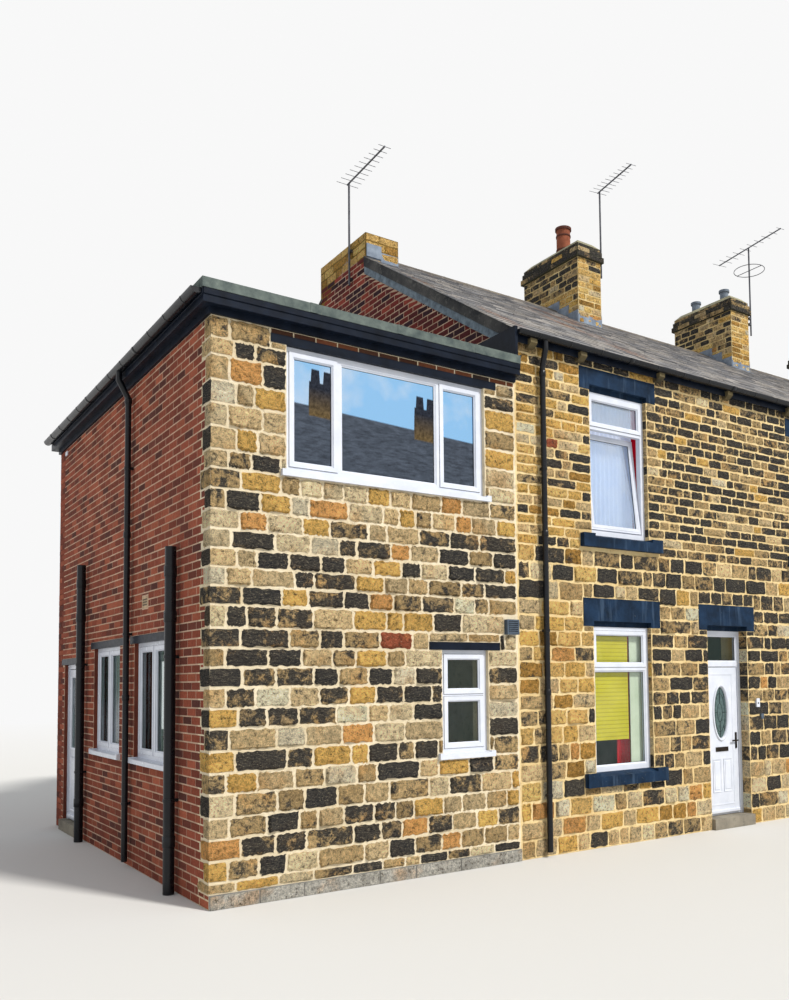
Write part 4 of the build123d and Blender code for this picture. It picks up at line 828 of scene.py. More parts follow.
def dress_nodes():
    """Give every CAD node its materials."""
    slots = {row["node"]: row["material_slot"] for row in frame["record"]["subparts"]}
    for name, node in NODES.items():
        node.data.materials.clear()
        node.data.materials.append(NODE_MATERIALS.get(name, SLOT_MATERIALS[slots[name]]))
    for name, side in INNER_WALLS.items():
        # The room sides take the dark plaster, whose darkness is painted shade.
        second_material(name, PLASTER_IN_PAINTED_SHADE, faces_room(*side))
    for name in ("house_glass", "extension_glass"):
        second_material(name, UPPER_GLASS, lambda p: p.center.z > UPPER_Z[0])
    first_house = EXT_WIDTH + HOUSE_PITCH + CORNER.x
    second_material("house_glass", CURTAINED_GLASS,
                    lambda p: p.center.z > UPPER_Z[0] and p.center.x < first_house)
    for name in ("extension_side_wall", "extension_side_pier", "extension_side_wall_over_door"):
        second_material(name, BRICK_REVEAL, lambda p: abs(p.normal.x) < 0.5)
    second_material("extension_back_wall", BRICK_REVEAL, lambda p: abs(p.normal.y) < 0.5)
    second_material("gable_verge", SLATE_EDGES, lambda p: p.normal.z < 0.5)
    end = ROW_END + CORNER.x - 0.01
    second_material("party_walls", BRICK_MORTAR, lambda p: p.normal.x > 0.9 and p.center.x > end)
    vent_end = VENT_BOX[1] + CORNER.x + 0.1
    second_material("wall_boxes", GREY_PLASTIC,
                    lambda p: p.center.x < vent_end or p.center.z < SMALL_BOX_TOP)
    cap = STACK_TOP - CAP_HEIGHT - 0.01
    second_material("party_chimney_stacks", CAP_STONE, lambda p: p.center.z > cap)
    rims = [STACK_TOP + FLAUNCH_HEIGHT + height for height in POT_HEIGHTS]
    second_material("chimney_pots", SOOTY_CLAY, lambda p: any(0 <= z - p.center.z < 0.05 for z in rims))
    zinc_start, zinc_end = (x + CORNER.x for x in STACKS[1])
    second_material("chimney_pots", ZINC, lambda p: zinc_start < p.center.x < zinc_end)
    for name in ("roof_front_slope", "roof_back_slope"):
        # The slopes' eaves edges and undersides take the navy paint, which also stands for the shade
        # under the eaves: partly paint, partly painted shade.
        second_material(name, NAVY, lambda p: p.normal.z < 0.5 and abs(p.normal.x) < 0.5)
        second_material(name, SLATE_EDGES, lambda p: abs(p.normal.x) > 0.5)


# Masonry
def free_cells(u0, u1, z0, z1, blocked, least):
    """The parts of a course that no opening, lintel or sill takes up."""
    near = [r for r in blocked if r[3] > z0 and r[2] < z1 and r[1] > u0 and r[0] < u1]
    edges = {u0, u1}
    for left, right, _, _ in near:
        edges |= {min(max(left, u0), u1), min(max(right, u0), u1)}
    edges = sorted(edges)
    cells = []
    for a, b in zip(edges, edges[1:]):
        spans = [(z0, z1)]
        for left, right, low, high in near:
            if left < (a + b) / 2 < right:
                spans = [part for c, d in spans for part in ((c, min(d, low)), (max(c, high), d))
                         if part[1] - part[0] > least]
        for c, d in spans:
            last = next((cell for cell in cells if cell[1] == a and cell[2:] == [c, d]), None)
            if last:
                last[1] = b
            else:
                cells.append([a, b, c, d])
    return cells


def split_course(rng, u0, u1, lengths, joints):
    """Break a course into stones, away from the joints of the course under it."""
    shortest, longest = lengths
    cuts = [u0]
    while u1 - cuts[-1] > longest:
        reach = cuts[-1] + rng.uniform(shortest, longest)
        if any(abs(reach - joint) < LEAST_LAP for joint in joints):
            reach += 2 * LEAST_LAP
        if u1 - reach < shortest * 0.6:
            break
        cuts.append(reach)
    cuts.append(u1)
    return list(zip(cuts, cuts[1:]))


def jitter(rng, size):
    return rng.uniform(-size, size)


def shoulders(low, high, cells, inset):
    """Places across a stone: its two edges, its two shoulders, and even steps between these."""
    inset = min(inset, (high - low) * 0.2)
    inner = [low + inset + (high - low - 2 * inset) * n / (cells - 2) for n in range(cells - 1)]
    return [low, *inner, high]


def rough_stone(mesh, face, rng, rect, tone, bulge, edge=0.005, ragged=0.012, cells=(5, 4)):
    """A rock-faced stone: a ragged outline, and a face broken to a few crossing planes."""
    a, b, c, d = rect
    bulge *= rng.uniform(0.7, 1.3)
    columns, rows = cells
    us = shoulders(a, b, columns, STONE_SHOULDER)
    vs = shoulders(c, d, rows, STONE_SHOULDER)
    breaks = [(rng.uniform(0.6, 1.2), jitter(rng, 1.5), jitter(rng, 1.5)) for _ in range(STONE_BREAKS)]
    points = []
    for j, v in enumerate(vs):
        for i, u in enumerate(us):
            side = -1 if i == 0 else 1 if i == columns else 0
            end = -1 if j == 0 else 1 if j == rows else 0
            if side or end:
                pull = ragged * (1.0 if side and end else 0.5)
                point = (u - side * pull * rng.uniform(-0.2, 1.3),
                         v - end * pull * rng.uniform(-0.2, 1.3), edge + abs(jitter(rng, edge * 0.8)))
            else:
                x, y = (u - a) / (b - a) - 0.5, (v - c) / (d - c) - 0.5
                height = min(lift + x * lean + y * tip for lift, lean, tip in breaks)
                point = (u + jitter(rng, (b - a) / columns * 0.2),
                         v + jitter(rng, (d - c) / rows * 0.2),
                         edge + bulge * (max(height, 0.2) + jitter(rng, 0.15)))
            points.append(point)
    faces = grid_faces(columns, rows)
    width = columns + 1
    border = list(range(width)) + [j * width + columns for j in range(1, rows + 1)]
    border += [rows * width + i for i in range(columns - 1, -1, -1)]
    border += [j * width for j in range(rows - 1, 0, -1)]
    base, count = len(points), len(border)
    points += [(points[k][0], points[k][1], points[k][2] - STONE_DEPTH) for k in border]
    faces += [(border[(n + 1) % count], border[n], base + n, base + (n + 1) % count)
              for n in range(count)]
    mesh.add(face, points, faces, tone)


def brick(mesh, face, span, foot, tops, tone, proud):
    """A brick's face with a small arris, standing out of the mortar. Its top may slope."""
    a, b = span
    left, right = tops
    outer = ((a, foot), (b, foot), (b, right), (a, left))
    inner = ((a + BRICK_ARRIS, foot + BRICK_ARRIS), (b - BRICK_ARRIS, foot + BRICK_ARRIS),
             (b - BRICK_ARRIS, right - BRICK_ARRIS), (a + BRICK_ARRIS, left - BRICK_ARRIS))
    block(mesh, face, outer, inner, -BRICK_DEPTH, proud, BRICK_ARRIS, tone, closed=False)


def pick_tone(rng, kind):
    """A stone's colour, a little lighter or darker than its table's, and its soot."""
    colour, soot = rng.choices([(s[0], s[1]) for s in STONES], [s[kind] for s in STONES])[0]
    shade = rng.uniform(0.86, 1.14)
    soot = min(1.0, max(0.0, soot + jitter(rng, 0.14)))
    return (*[min(1.0, c * shade) for c in srgb(*colour)], soot)


def level_courses(top, heights, bottom):
    """Course levels from the top down to a bottom, as (low, high) pairs."""
    levels = []
    high = top
    for height in heights:
        low = max(bottom, high - height)
        if high - low > LEAST_COURSE:
            levels.append((low, high))
        high = low
    return levels


def lay_stones(mesh, face, rng, span, levels, blocked, kind, lengths, joint, bulge, cells=(4, 3)):
    """Coursed stones over a span of a wall. kind(u, z) says which walling lies there."""
    joints = []
    gap = joint / 2
    for low, high in levels:
        new_joints = []
        for a, b, c, d in free_cells(*span, low, high, blocked, LEAST_STONE_ROW):
            for s, e in split_course(rng, a, b, lengths, joints):
                new_joints.append(e)
                rect = (s + gap, e - gap, c + gap + jitter(rng, 0.003), d - gap + jitter(rng, 0.003))
                if rect[1] - rect[0] < LEAST_STONE[0] or rect[3] - rect[2] < LEAST_STONE[1]:
                    continue
                tone = pick_tone(rng, kind((s + e) / 2, (c + d) / 2))
                size = min(1.0, (rect[3] - rect[2]) / FULL_COURSE)
                rough_stone(mesh, face, rng, rect, tone, bulge * size, STONE_EDGE,
                            STONE_RAGGED * size, cells)
        joints = new_joints


def under_outline(outline, s, e, least):
    """Shorten a brick at an end where the sloping outline leaves no height for it."""
    left, right = outline(s) - least, outline(e) - least
    if left < 0 and right < 0:
        return s, s
    cut = s + (e - s) * left / (left - right) if left * right < 0 else s
    return (cut, e) if left < 0 else (s, cut if right < 0 else e)


def lay_bricks(mesh, face, rng, span, levels, blocked, palette, outline=None):
    """Stretcher bond over a span of a wall. outline(u) gives the brickwork's top where it slopes."""
    colours, weights = zip(*palette)
    gap = BRICK_JOINT / 2
    for row, (low, high) in enumerate(levels):
        start = span[0] - (BRICK_LENGTH / 2 if row % 2 else 0)
        for a, b, c, d in free_cells(*span, low, high, blocked, LEAST_BRICK):
            u = start + math.floor((a - start) / BRICK_LENGTH) * BRICK_LENGTH
            while u < b - 0.02:
                s, e = max(a, u) + gap, min(b, u + BRICK_LENGTH) - gap
                u += BRICK_LENGTH
                if outline:
                    s, e = under_outline(outline, s, e, c + gap + 0.012)
                tops = [min(d - gap, outline(x)) if outline else d - gap for x in (s, e)]
                if e - s < LEAST_BRICK:
                    continue
                shade = rng.uniform(0.85, 1.15)
                tone = (*[x * shade for x in srgb(*rng.choices(colours, weights)[0])], 0)
                brick(mesh, face, (s, e), c + gap, tops, tone, BRICK_PROUD + jitter(rng, 0.0012))


def brick_courses(z0, z1):
    """Levels of brick courses from z0 up, the last one cut or stretched to end at z1."""
    count = math.ceil((z1 - z0) / BRICK_GAUGE - 0.3)
    levels = [(z0 + n * BRICK_GAUGE, z0 + (n + 1) * BRICK_GAUGE) for n in range(count)]
    levels[-1] = (levels[-1][0], z1)
    return levels


def around(hole, lintel, lintel_side, sill=0.0, sill_side=0.0):
    """What a window takes up in its wall: the hole, its lintel and its sill."""
    a, b, c, d = hole
    rects = [hole, (a - lintel_side, b + lintel_side, d, d + lintel)]
    if sill:
        rects.append((a - sill_side, b + sill_side, c - sill, c))
    return rects


def ext_around(hole):
    return around(hole, EXT_LINTEL, EXT_LINTEL_SIDE, EXT_SILL, EXT_SILL_SIDE)


def house_holes(shift):
    """The upper window, lower window and door of one house."""
    upper = (WINDOW[0] + shift, WINDOW[1] + shift, *UPPER_Z)
    lower = (WINDOW[0] + shift, WINDOW[1] + shift, *LOWER_Z)
    return upper, lower, (DOOR[0] + shift, DOOR[1] + shift, DOOR[2], DOOR[3])


def house_blocks(shift):
    """What one house's openings take up in its wall, with the step at the door's foot."""
    upper, lower, door = house_holes(shift)
    step = (door[0], door[1], 0, door[2])
    return (around(upper, UPPER_LINTEL, LINTEL_SIDE, SILL_HEIGHT, SILL_SIDE)
            + around(lower, LOWER_LINTEL, LINTEL_SIDE, SILL_HEIGHT, SILL_SIDE)
            + around(door, LOWER_LINTEL, LINTEL_SIDE) + [step])


def quoins(mesh, side_blocks, levels):
    """Corner stones that turn from the front onto the side wall, long and short by turns."""
    rng = random.Random(5)
    front_blocks = []
    for n, (low, high) in enumerate(levels):
        length = rng.uniform(*QUOIN_LENGTHS[n % 2])
        depth = QUOIN_DEPTHS[n % 2] + jitter(rng, 0.035)
        tone = pick_tone(rng, CLEAN)
        side_tone = pick_tone(rng, DARK)[:3] + (1.0,) if n in SOOTY_QUOINS else tone
        for face, reach, colour in ((FRONT, length, tone), (SIDE, depth, side_tone)):
            rect = (-QUOIN_EDGE, reach - QUOIN_GAP, low + QUOIN_GAP, high - QUOIN_GAP)
            rough_stone(mesh, face, rng, rect, colour, QUOIN_BULGE, QUOIN_EDGE)
        front_blocks.append((-1, length, low, high))
        side_blocks.append((-1, depth, low, high))
    return front_blocks


def extension_kind(rng):
    """Cleaner stones the higher they lie."""
    def kind(u, z):
        share = next(share for top, share in CLEAN_SHARES if z <= top)
        return CLEAN if rng.random() < share else MIXED
    return kind


def house_kind(rng):
    """Tan near the ground, tan to mossy beside the extension, sooty elsewhere."""
    def kind(u, z):
        if z < TAN_FOOT:
            return YELLOW if rng.random() < 0.1 else CLEAN
        if u < EXT_WIDTH + TAN_SIDE:
            return rng.choice((CLEAN, MIXED, MOSSY, YELLOW))
        return DARK if rng.random() < 0.9 else MIXED
    return kind


def house_levels(rng):
    """Larger courses downstairs, small ones upstairs."""
    levels = []
    z = 0.0
    while z < WALL_TOP - 0.03:
        size = next(size for top, size in HOUSE_COURSES if z < top)
        high = min(z + size * rng.uniform(*COURSE_SPREAD), WALL_TOP)
        levels.append((z, high))
        z = high
    return levels


def lay_reveals(mesh, rng, hole, recess, levels):
    """Squared stones on the two sides of an opening, as deep as its frame stands back."""
    a, b, c, d = hole
    for u, flipped in ((a, False), (b, True)):
        jamb = Face((u, 0, 0), (0, 1, 0), flipped=flipped)
        for low, high in levels:
            low, high = max(low, c), min(high, d)
            if high - low > LEAST_COURSE:
                rect = (0.004, recess - 0.002, low + 0.008, high - 0.008)
                slab(mesh, jamb, rect, -0.002, 0.004, pick_tone(rng, MIXED), 0.003)


def make_extension_walls():
    """Stones of the extension's front, its quoins, and the side wall's bricks that fit round them."""
    front_blocks = ext_around(BIG_WINDOW) + ext_around(SMALL_WINDOW) + [VENT_BOX]
    side_blocks = around(SIDE_DOOR, EXT_LINTEL, EXT_LINTEL_SIDE)
    side_blocks += [(SIDE_DOOR[0], SIDE_DOOR[1], 0, SIDE_DOOR[2]), AIR_BRICK]
    side_blocks += [rect for hole in SIDE_WINDOWS for rect in ext_around(hole)]
    frieze, upper, *levels = level_courses(EXT_TOP, EXT_COURSES, PLINTH_TOP)
    levels.insert(0, (upper[0], frieze[1]))
    stones, bricks = Mesh(), Mesh()
    front_blocks += quoins(stones, side_blocks, levels)
    rng = random.Random(11)
    left, right = BIG_WINDOW[0] - EXT_LINTEL_SIDE, EXT_WIDTH - JUNCTION_GAP
    front_blocks.append((left, right, *frieze))
    lay_stones(stones, FRONT, rng, (0, right), levels, front_blocks, extension_kind(rng),
               **EXT_WALLING)
    plinth_tone = (*srgb(*PLINTH_STONE), 0.1)
    for a, b in split_course(rng, 0, EXT_WIDTH, PLINTH_LENGTHS, []):
        rect = (a + PLINTH_GAP, b - PLINTH_GAP, 0, PLINTH_TOP - PLINTH_GAP)
        rough_stone(stones, FRONT.moved(PLINTH_PROUD), rng, rect, plinth_tone, 0.006, ragged=0.004)
    lay_bricks(bricks, SIDE, rng, (0, EXT_DEPTH), brick_courses(0, EXT_TOP), side_blocks, BRICKS)
    lay_bricks(bricks, FRONT, rng, (left, right), [frieze], [], FRIEZE_BRICKS)
    stones.build("extension_front_stones", STONE, "coursed_stone")
    bricks.build("extension_side_bricks", BRICK, "red_brick")


def make_house_walls():
    """Stones of the houses' front and back, and of the reveals of the front's openings."""
    blocks = [rect for shift in SHIFTS for rect in house_blocks(shift)]
    rng = random.Random(31)
    levels = house_levels(rng)
    front = Mesh()
    lay_stones(front, FRONT, rng, (EXT_WIDTH + JUNCTION_GAP, ROW_END), levels, blocks,
               house_kind(rng), **HOUSE_WALLING)
    for shift in SHIFTS:
        for hole, recess in zip(house_holes(shift), (WINDOW_RECESS, WINDOW_RECESS, DOOR_RECESS)):
            lay_reveals(front, rng, hole, recess, levels)
    front.build("house_front_stones", STONE, "coursed_stone")
    back = Mesh()
    lay_stones(back, BACK, rng, (EXT_WIDTH, ROW_END), levels, blocks, lambda u, z: MIXED,
               **BACK_WALLING)
    back.build("house_back_stones", STONE, "coursed_stone")


def beside_stack(y, back=0.0):
    """Whether a depth y lies within a stack that stands back from the ridge."""
    return abs(y - RIDGE_Y - back) < STACK_LENGTH / 2


def gable_top(y):
    """Top of the gable's brickwork: under the verge boards, and higher on the chimney stack."""
    if beside_stack(y, GABLE_STACK_BACK):
        return GABLE_STACK_TOP - GABLE_STACK_STONES
    return under_roof_z(y) - VERGE_BOARD / COS_PITCH


def end_top(y):
    """Top of the end wall's brickwork, under the roof and under the last stack's stones."""
    stack_foot = roof_z(RIDGE_Y - STACK_LENGTH / 2)
    return min(under_roof_z(y), stack_foot) if beside_stack(y) else under_roof_z(y)


def make_brick_walls():
    """Bricks of the extension's back, the gable above its roof and the row's end wall."""
    rng = random.Random(22)
    bricks = Mesh()
    blocks = [rect for hole in BACK_WINDOWS for rect in ext_around(hole)]
    lay_bricks(bricks, EXT_BACK, rng, (0, EXT_WIDTH), brick_courses(0, EXT_TOP), blocks, BRICKS)
    hidden = [(-1, EXT_DEPTH, -1, DECK_TOP), (-1, EAVES_BOARD_END, -1, EAVES_Z)]
    courses = brick_courses(0, RIDGE_Z)
    lay_bricks(bricks, GABLE, rng, (0, HOUSE_DEPTH), courses, hidden, DARK_BRICKS, gable_top)
    bricks.build("gable_and_back_bricks", BRICK, "red_brick")
    end = Mesh()
    lay_bricks(end, END, rng, (0, HOUSE_DEPTH), courses, [], BRICKS, end_top)
    end.build("end_wall_bricks", BRICK, "red_brick")


# Chimneys
def stack_sides(x0, x1, y0, y1):
    """The four faces of a stack: front, left, right and back, with the length of each."""
    return ((Face((x0, y0, 0), (1, 0, 0)), x1 - x0),
            (Face((x0, y0, 0), (0, 1, 0), flipped=True), y1 - y0),
            (Face((x1, y0, 0), (0, 1, 0)), y1 - y0),
            (Face((x0, y1, 0), (1, 0, 0), flipped=True), x1 - x0))


def even_courses(rng, z0, z1, height):
    """Course levels from z0 up to z1, all of about one height."""
    levels = []
    while z0 < z1 - 0.03:
        high = z0 + height * rng.uniform(*COURSE_SPREAD)
        if z1 - high < LEAST_COURSE:
            high = z1
        levels.append((z0, high))
        z0 = high
    return levels


def make_party_stack(mesh, rng, x0, x1):
    """Coursed stone up to the cap, and the cap's three courses, each less proud than the last."""
    y0, y1 = RIDGE_Y - STACK_LENGTH / 2, RIDGE_Y + STACK_LENGTH / 2
    cap = STACK_TOP - CAP_HEIGHT
    levels = even_courses(rng, roof_z(y0), cap, STACK_COURSE)
    kinds = (lambda u, z: YELLOW if z < cap - MOSS_UNDER_CAP else MOSSY,
             lambda u, z: DARK if z > cap - SOOT_UNDER_CAP else MOSSY,
             lambda u, z: MOSSY, lambda u, z: MOSSY)
    for kind, (face, length) in zip(kinds, stack_sides(x0, x1, y0, y1)):
        lay_stones(mesh, face, rng, (0, length), levels, [], kind, **STACK_WALLING)
    for k, proud in enumerate((CAP_PROUD, CAP_PROUD / 2, 0)):
        low = cap + k * CAP_COURSE
        course = [(low, min(low + CAP_COURSE, STACK_TOP))]
        for face, length in stack_sides(x0 - proud, x1 + proud, y0 - proud, y1 + proud):
            lay_stones(mesh, face, rng, (0, length), course, [], lambda u, z: DARK, **CAP_WALLING)


def make_chimneys():
    """Stones of the party stacks and of the gable stack, whose foot the gable's bricks cover."""
    mesh = Mesh()
    rng = random.Random(90)
    for span in STACKS:
        make_party_stack(mesh, rng, *span)
    y0 = RIDGE_Y + GABLE_STACK_BACK - STACK_LENGTH / 2
    y1 = y0 + STACK_LENGTH
    middle = GABLE_STACK_TOP - GABLE_STACK_STONES
    upper = even_courses(rng, middle, GABLE_STACK_TOP, GABLE_STACK_COURSES[1])
    lower = even_courses(rng, roof_z(y1), middle, GABLE_STACK_COURSES[0])
    for n, (face, length) in enumerate(stack_sides(*GABLE_STACK, y0, y1)):
        lay_stones(mesh, face, rng, (0, length), upper if n == 1 else lower + upper, [],
                   lambda u, z: YELLOW, **GABLE_STACK_WALLING)
    mesh.build("chimney_stones", STONE, "coursed_stone")


def make_stack_leads():
    """Stepped lead along both sides of each party stack, and a patch on the gable stack."""
    mesh = Mesh()
    y0 = RIDGE_Y - STACK_LENGTH / 2
    run = STACK_LENGTH / 2 / LEAD_STEPS
    for x0, x1 in STACKS:
        sides = (Face((x0, 0, 0), (0, 1, 0), flipped=True), Face((x1, 0, 0), (0, 1, 0)))
        for face in sides[:1] if x1 == ROW_END else sides:
            for n in range(LEAD_STEPS):
                a, b = y0 + n * run, y0 + (n + 1) * run
                top = roof_z(b) + LEAD_RISE
                feet = roof_z(a) - LEAD_DROP, roof_z(b) - LEAD_DROP
                step = [(a, feet[0]), (b, feet[1]), (b, top), (a, top)]
                behind = [(HOUSE_DEPTH - y, z) for y, z in reversed(step)]
                prism(mesh, face, step, 0, LEAD_THICK)
                prism(mesh, face, behind, 0, LEAD_THICK)
    front = Face((0, y0 + GABLE_STACK_BACK, 0), (1, 0, 0))
    slab(mesh, front, GABLE_LEAD, 0, GABLE_LEAD_THICK)
    mesh.build("stack_leads", LEAD, "lead")


def make_pot_bands():
    """Bands round the clay pots of the first and the last party stack."""
    mesh = Mesh()
    foot = STACK_TOP + FLAUNCH_HEIGHT
    for span in (STACKS[0], STACKS[-1]):
        x, y = sum(span) / 2, RIDGE_Y - POT_FORWARD
        for z in (foot + rise for rise in POT_BANDS):
            hoop(mesh, (x, y, z), (x, y, z + POT_BAND), POT_RADIUS + 0.01, 0.012)
    mesh.build("pot_bands", SOOTY_CLAY, "clay")


# Roof
def slate(mesh, slope, rect, lift, tone):
    """A slate that lies on the one under it: high at its lower edge, low at its head."""
    a, b, c, d = rect
    points = ((a, c, lift), (b, c, lift), (b, d, 0.002), (a, d, 0.002), (a, c, 0), (b, c, 0))
    mesh.add(slope, points, [(0, 1, 2, 3), (4, 5, 1, 0), (4, 0, 3), (1, 5, 2)], tone)


def shafts():
    """Spans in X and Y where stacks come through the roof."""
    half = STACK_LENGTH / 2
    spans = [(a, b, RIDGE_Y - half, RIDGE_Y + half) for a, b in STACKS]
    middle = RIDGE_Y + GABLE_STACK_BACK
    return spans + [(*GABLE_STACK, middle - half, middle + half)]


def slate_course(mesh, slope, rng, left, v, head, taken):
    """One course of slates, from the verge's strip to the row's end, past what stacks take up."""
    u = left - rng.uniform(0.02, 0.2)
    while u < ROW_END - 0.02:
        s = max(u, left) + SLATE_GAP / 2
        e = min(u + rng.uniform(*SLATE_WIDTHS), ROW_END) - SLATE_GAP / 2
        u = e + SLATE_GAP
        if e - s < 0.05 or any(a < (s + e) / 2 < b for a, b in taken):
            continue
        shade = rng.uniform(0.88, 1.12)
        tone = (*[c * shade for c in srgb(*rng.choice(SLATES))], 0)
        rect = (s, e, v - 0.01 + jitter(rng, 0.005), head)
        slate(mesh, slope, rect, SLATE_LIFT * rng.uniform(0.8, 1.5), tone)


def make_slates():
    """Courses of stone slates on both slopes, larger at the eaves than at the ridge."""
    mesh = Mesh()
    rng = random.Random(41)
    length = (RIDGE_Y + EAVES_OUT) / COS_PITCH
    left = EXT_WIDTH - VERGE_OUT + VERGE_STRIP
    for n, slope in enumerate(SLOPES):
        v = 0.0
        while v < length - 0.1:
            exposure = EAVES_EXPOSURE - EXPOSURE_LOSS * v / length
            y = v * COS_PITCH - EAVES_OUT
            y = HOUSE_DEPTH - y if n else y
            taken = [(a, b) for a, b, c, d in shafts() if c - 0.03 < y < d - 0.03]
            slate_course(mesh, slope, rng, left, v, min(v + exposure * 1.05, length - 0.01), taken)
            if not any(a < left < b for a, b in taken):
                rect = (left - VERGE_STRIP - rng.uniform(0, 0.012), left + 0.004, v, v + exposure)
                tone = (*srgb(*rng.choice(SLATES)), 0)
                slate(mesh, slope.moved(VERGE_THICK), rect, 0.014, tone)
            v += exposure
    mesh.build("roof_slates", SLATE, "stone_slate")


def make_ridge_joints():
    """Mortar between the ridge tiles."""
    mesh = Mesh()
    rise = RIDGE_THICK / COS_PITCH + 0.003
    foot = RIDGE_Z - RIDGE_LEG * TAN_PITCH
    outline = [(RIDGE_Y - RIDGE_LEG, foot), (RIDGE_Y, RIDGE_Z), (RIDGE_Y + RIDGE_LEG, foot)]
    outline += [(y, z + rise) for y, z in reversed(outline)]
    x = EXT_WIDTH + RIDGE_TILE
    while x < ROW_END:
        if not any(a - 0.02 < x < b + 0.02 for a, b, _, _ in shafts()):
            prism(mesh, Face((x, 0, 0), (0, 1, 0)), outline, 0, 0.018)
        x += RIDGE_TILE
    mesh.build("ridge_joints", CEMENT, "mortar")


# Windows and doors
def grid_lights(hole, mullions=(), transoms=()):
    """The clear openings between the bars of a window frame, column by column."""
    a, b, c, d = hole
    half = BAR_WIDTH / 2
    us = [a + FRAME_WIDTH] + [x for m in mullions for x in (m - half, m + half)] + [b - FRAME_WIDTH]
    vs = [c + FRAME_WIDTH] + [z for t in transoms for z in (t - half, t + half)] + [d - FRAME_WIDTH]
    return [(us[i], us[i + 1], vs[j], vs[j + 1])
            for i in range(0, len(us), 2) for j in range(0, len(vs), 2)]


def gasket(dark, face, light, inset):
    """A thin black rim on the glass, inside a bead."""
    rect = grown(light, -inset)
    ring(dark, face, rect, GASKET_WIDTH, -GLASS_FRONT - 0.002, -GLASS_FRONT + 0.003)


def casement(white, dark, face, light):
    """An opening light: its sash laps the frame, with a bead and a gasket against the glass."""
    sash = grown(light, SASH_LAP)
    ring(dark, face, grown(sash, 0.003), 0.006, -0.002, 0.0015)
    ring(white, face, sash, SASH_FACE, -0.02, 0.01, 0.002)
    bead = grown(sash, -SASH_FACE)
    ring(white, face, bead, BEAD_WIDTH, -GLASS_FRONT, 0.002, 0.01)
    gasket(dark, face, bead, 0.013)


def fixed_light(white, dark, face, light):
    """A sloped bead and a gasket round glass that is fixed in the frame."""
    ring(white, face, light, 0.02, -GLASS_FRONT, -0.003, 0.012)
    gasket(dark, face, light, 0.019)


def dress_window(white, dark, face, lights, opening):
    """Mouldings of a window whose lights with the numbers in opening are casements."""
    for n, light in enumerate(lights):
        (casement if n in opening else fixed_light)(white, dark, face, light)


def tilted_sash(white, dark):
    """Bead, gasket and rim of the sash that stands open."""
    width, height = SASH_SIZE
    light = grown((0, width, 0, height), -SASH_BAR)
    ring(white, SASH, light, BEAD_WIDTH, -0.018, 0.001, 0.01)
    ring(dark, SASH, grown(light, -0.013), GASKET_WIDTH, -0.02, -0.014)
    ring(white, SASH, grown(light, 0.03), 0.012, -0.001, 0.004, 0.002)


def house_windows(white, dark, wall, shift, tilted):
    """One house's upper and lower window and the light over its door, in one wall."""
    upper, lower, door = house_holes(shift)
    face = wall.moved(-WINDOW_RECESS)
    lights = grid_lights(upper, (), (upper[3] - UPPER_TRANSOM,))
    if tilted:
        lights = lights[1:]
        tilted_sash(white, dark)
    dress_window(white, dark, face, lights, (0, 1))
    dress_window(white, dark, face, grid_lights(lower, (), (lower[3] - LOWER_TRANSOM,)), (1,))
    fanlight = (door[0] + FRAME_WIDTH, door[1] - FRAME_WIDTH, DOOR_TRANSOM[1], door[3] - FRAME_WIDTH)
    fixed_light(white, dark, wall.moved(-DOOR_RECESS), fanlight)


def make_window_details():
    """Sashes, beads and gaskets of all windows and fanlights."""
    white, dark = Mesh(), Mesh()
    face = FRONT.moved(-EXT_RECESS)
    dress_window(white, dark, face, grid_lights(BIG_WINDOW, BIG_MULLIONS), (0, 2))
    dress_window(white, dark, face, grid_lights(SMALL_WINDOW, (), (SMALL_TRANSOM,)), (0, 1))
    for wall, holes in ((SIDE, SIDE_WINDOWS), (EXT_BACK, BACK_WINDOWS)):
        for hole in holes:
            lights = grid_lights(hole, ((hole[0] + hole[1]) / 2,))
            dress_window(white, dark, wall.moved(-EXT_RECESS), lights, (0, 1))
    for n, shift in enumerate(SHIFTS):
        house_windows(white, dark, FRONT, shift, n == 0)
        house_windows(white, dark, BACK, shift, False)
    white.build("window_mouldings", WHITE_PLASTIC, "white_plastic")
    dark.build("window_gaskets", GASKET, "black_plastic")


def raised_panel(mesh, face, rect):
    """A moulded panel on a door leaf: a rim, and a field that rises inside it."""
    ring(mesh, face, rect, 0.016, 0, 0.008, 0.006)
    slab(mesh, face, grown(rect, -0.03), 0, 0.006, bevel=0.006)


def weather_bar(mesh, face, left, right):
    """The bar that throws the rain off a leaf's foot."""
    slab(mesh, face, (left, right, *WEATHER_BAR), 0, WEATHER_BAR_PROUD, bevel=0.01)


def line(mesh, face, start, end, width, back, front):
    """A straight bar between two points of a face."""
    start, end = Vector(start), Vector(end)
    along = end - start
    across = Vector((-along.y, along.x)).normalized() * width / 2
    outline = [tuple(p) for p in (start - across, end - across, end + across, start + across)]
    prism(mesh, face, outline, back, front)


def lead_lines(mesh, face):
    """On the oval light: two ovals, a cross from the inner one to the rim, and four short strokes."""
    u, v = OVAL
    wide, tall = OVAL_RADII
    size = (CAME_WIDTH, -OVAL_GLASS_FACE - 0.002, -OVAL_GLASS_FACE + 0.003)
    for share in (0.72, 0.34):
        oval_ring(mesh, face, OVAL, (wide * share, tall * share), *size)
    for side in (-1, 1):
        line(mesh, face, (u, v + side * tall * 0.34), (u, v + side * tall * 0.97), *size)
        line(mesh, face, (u + side * wide * 0.34, v), (u + side * wide * 0.95, v), *size)
        for end in (-1, 1):
            start = (u + side * wide * 0.5, v + end * tall * 0.5)
            line(mesh, face, start, (start[0] + side * wide * 0.16, start[1] + end * tall * 0.2), *size)


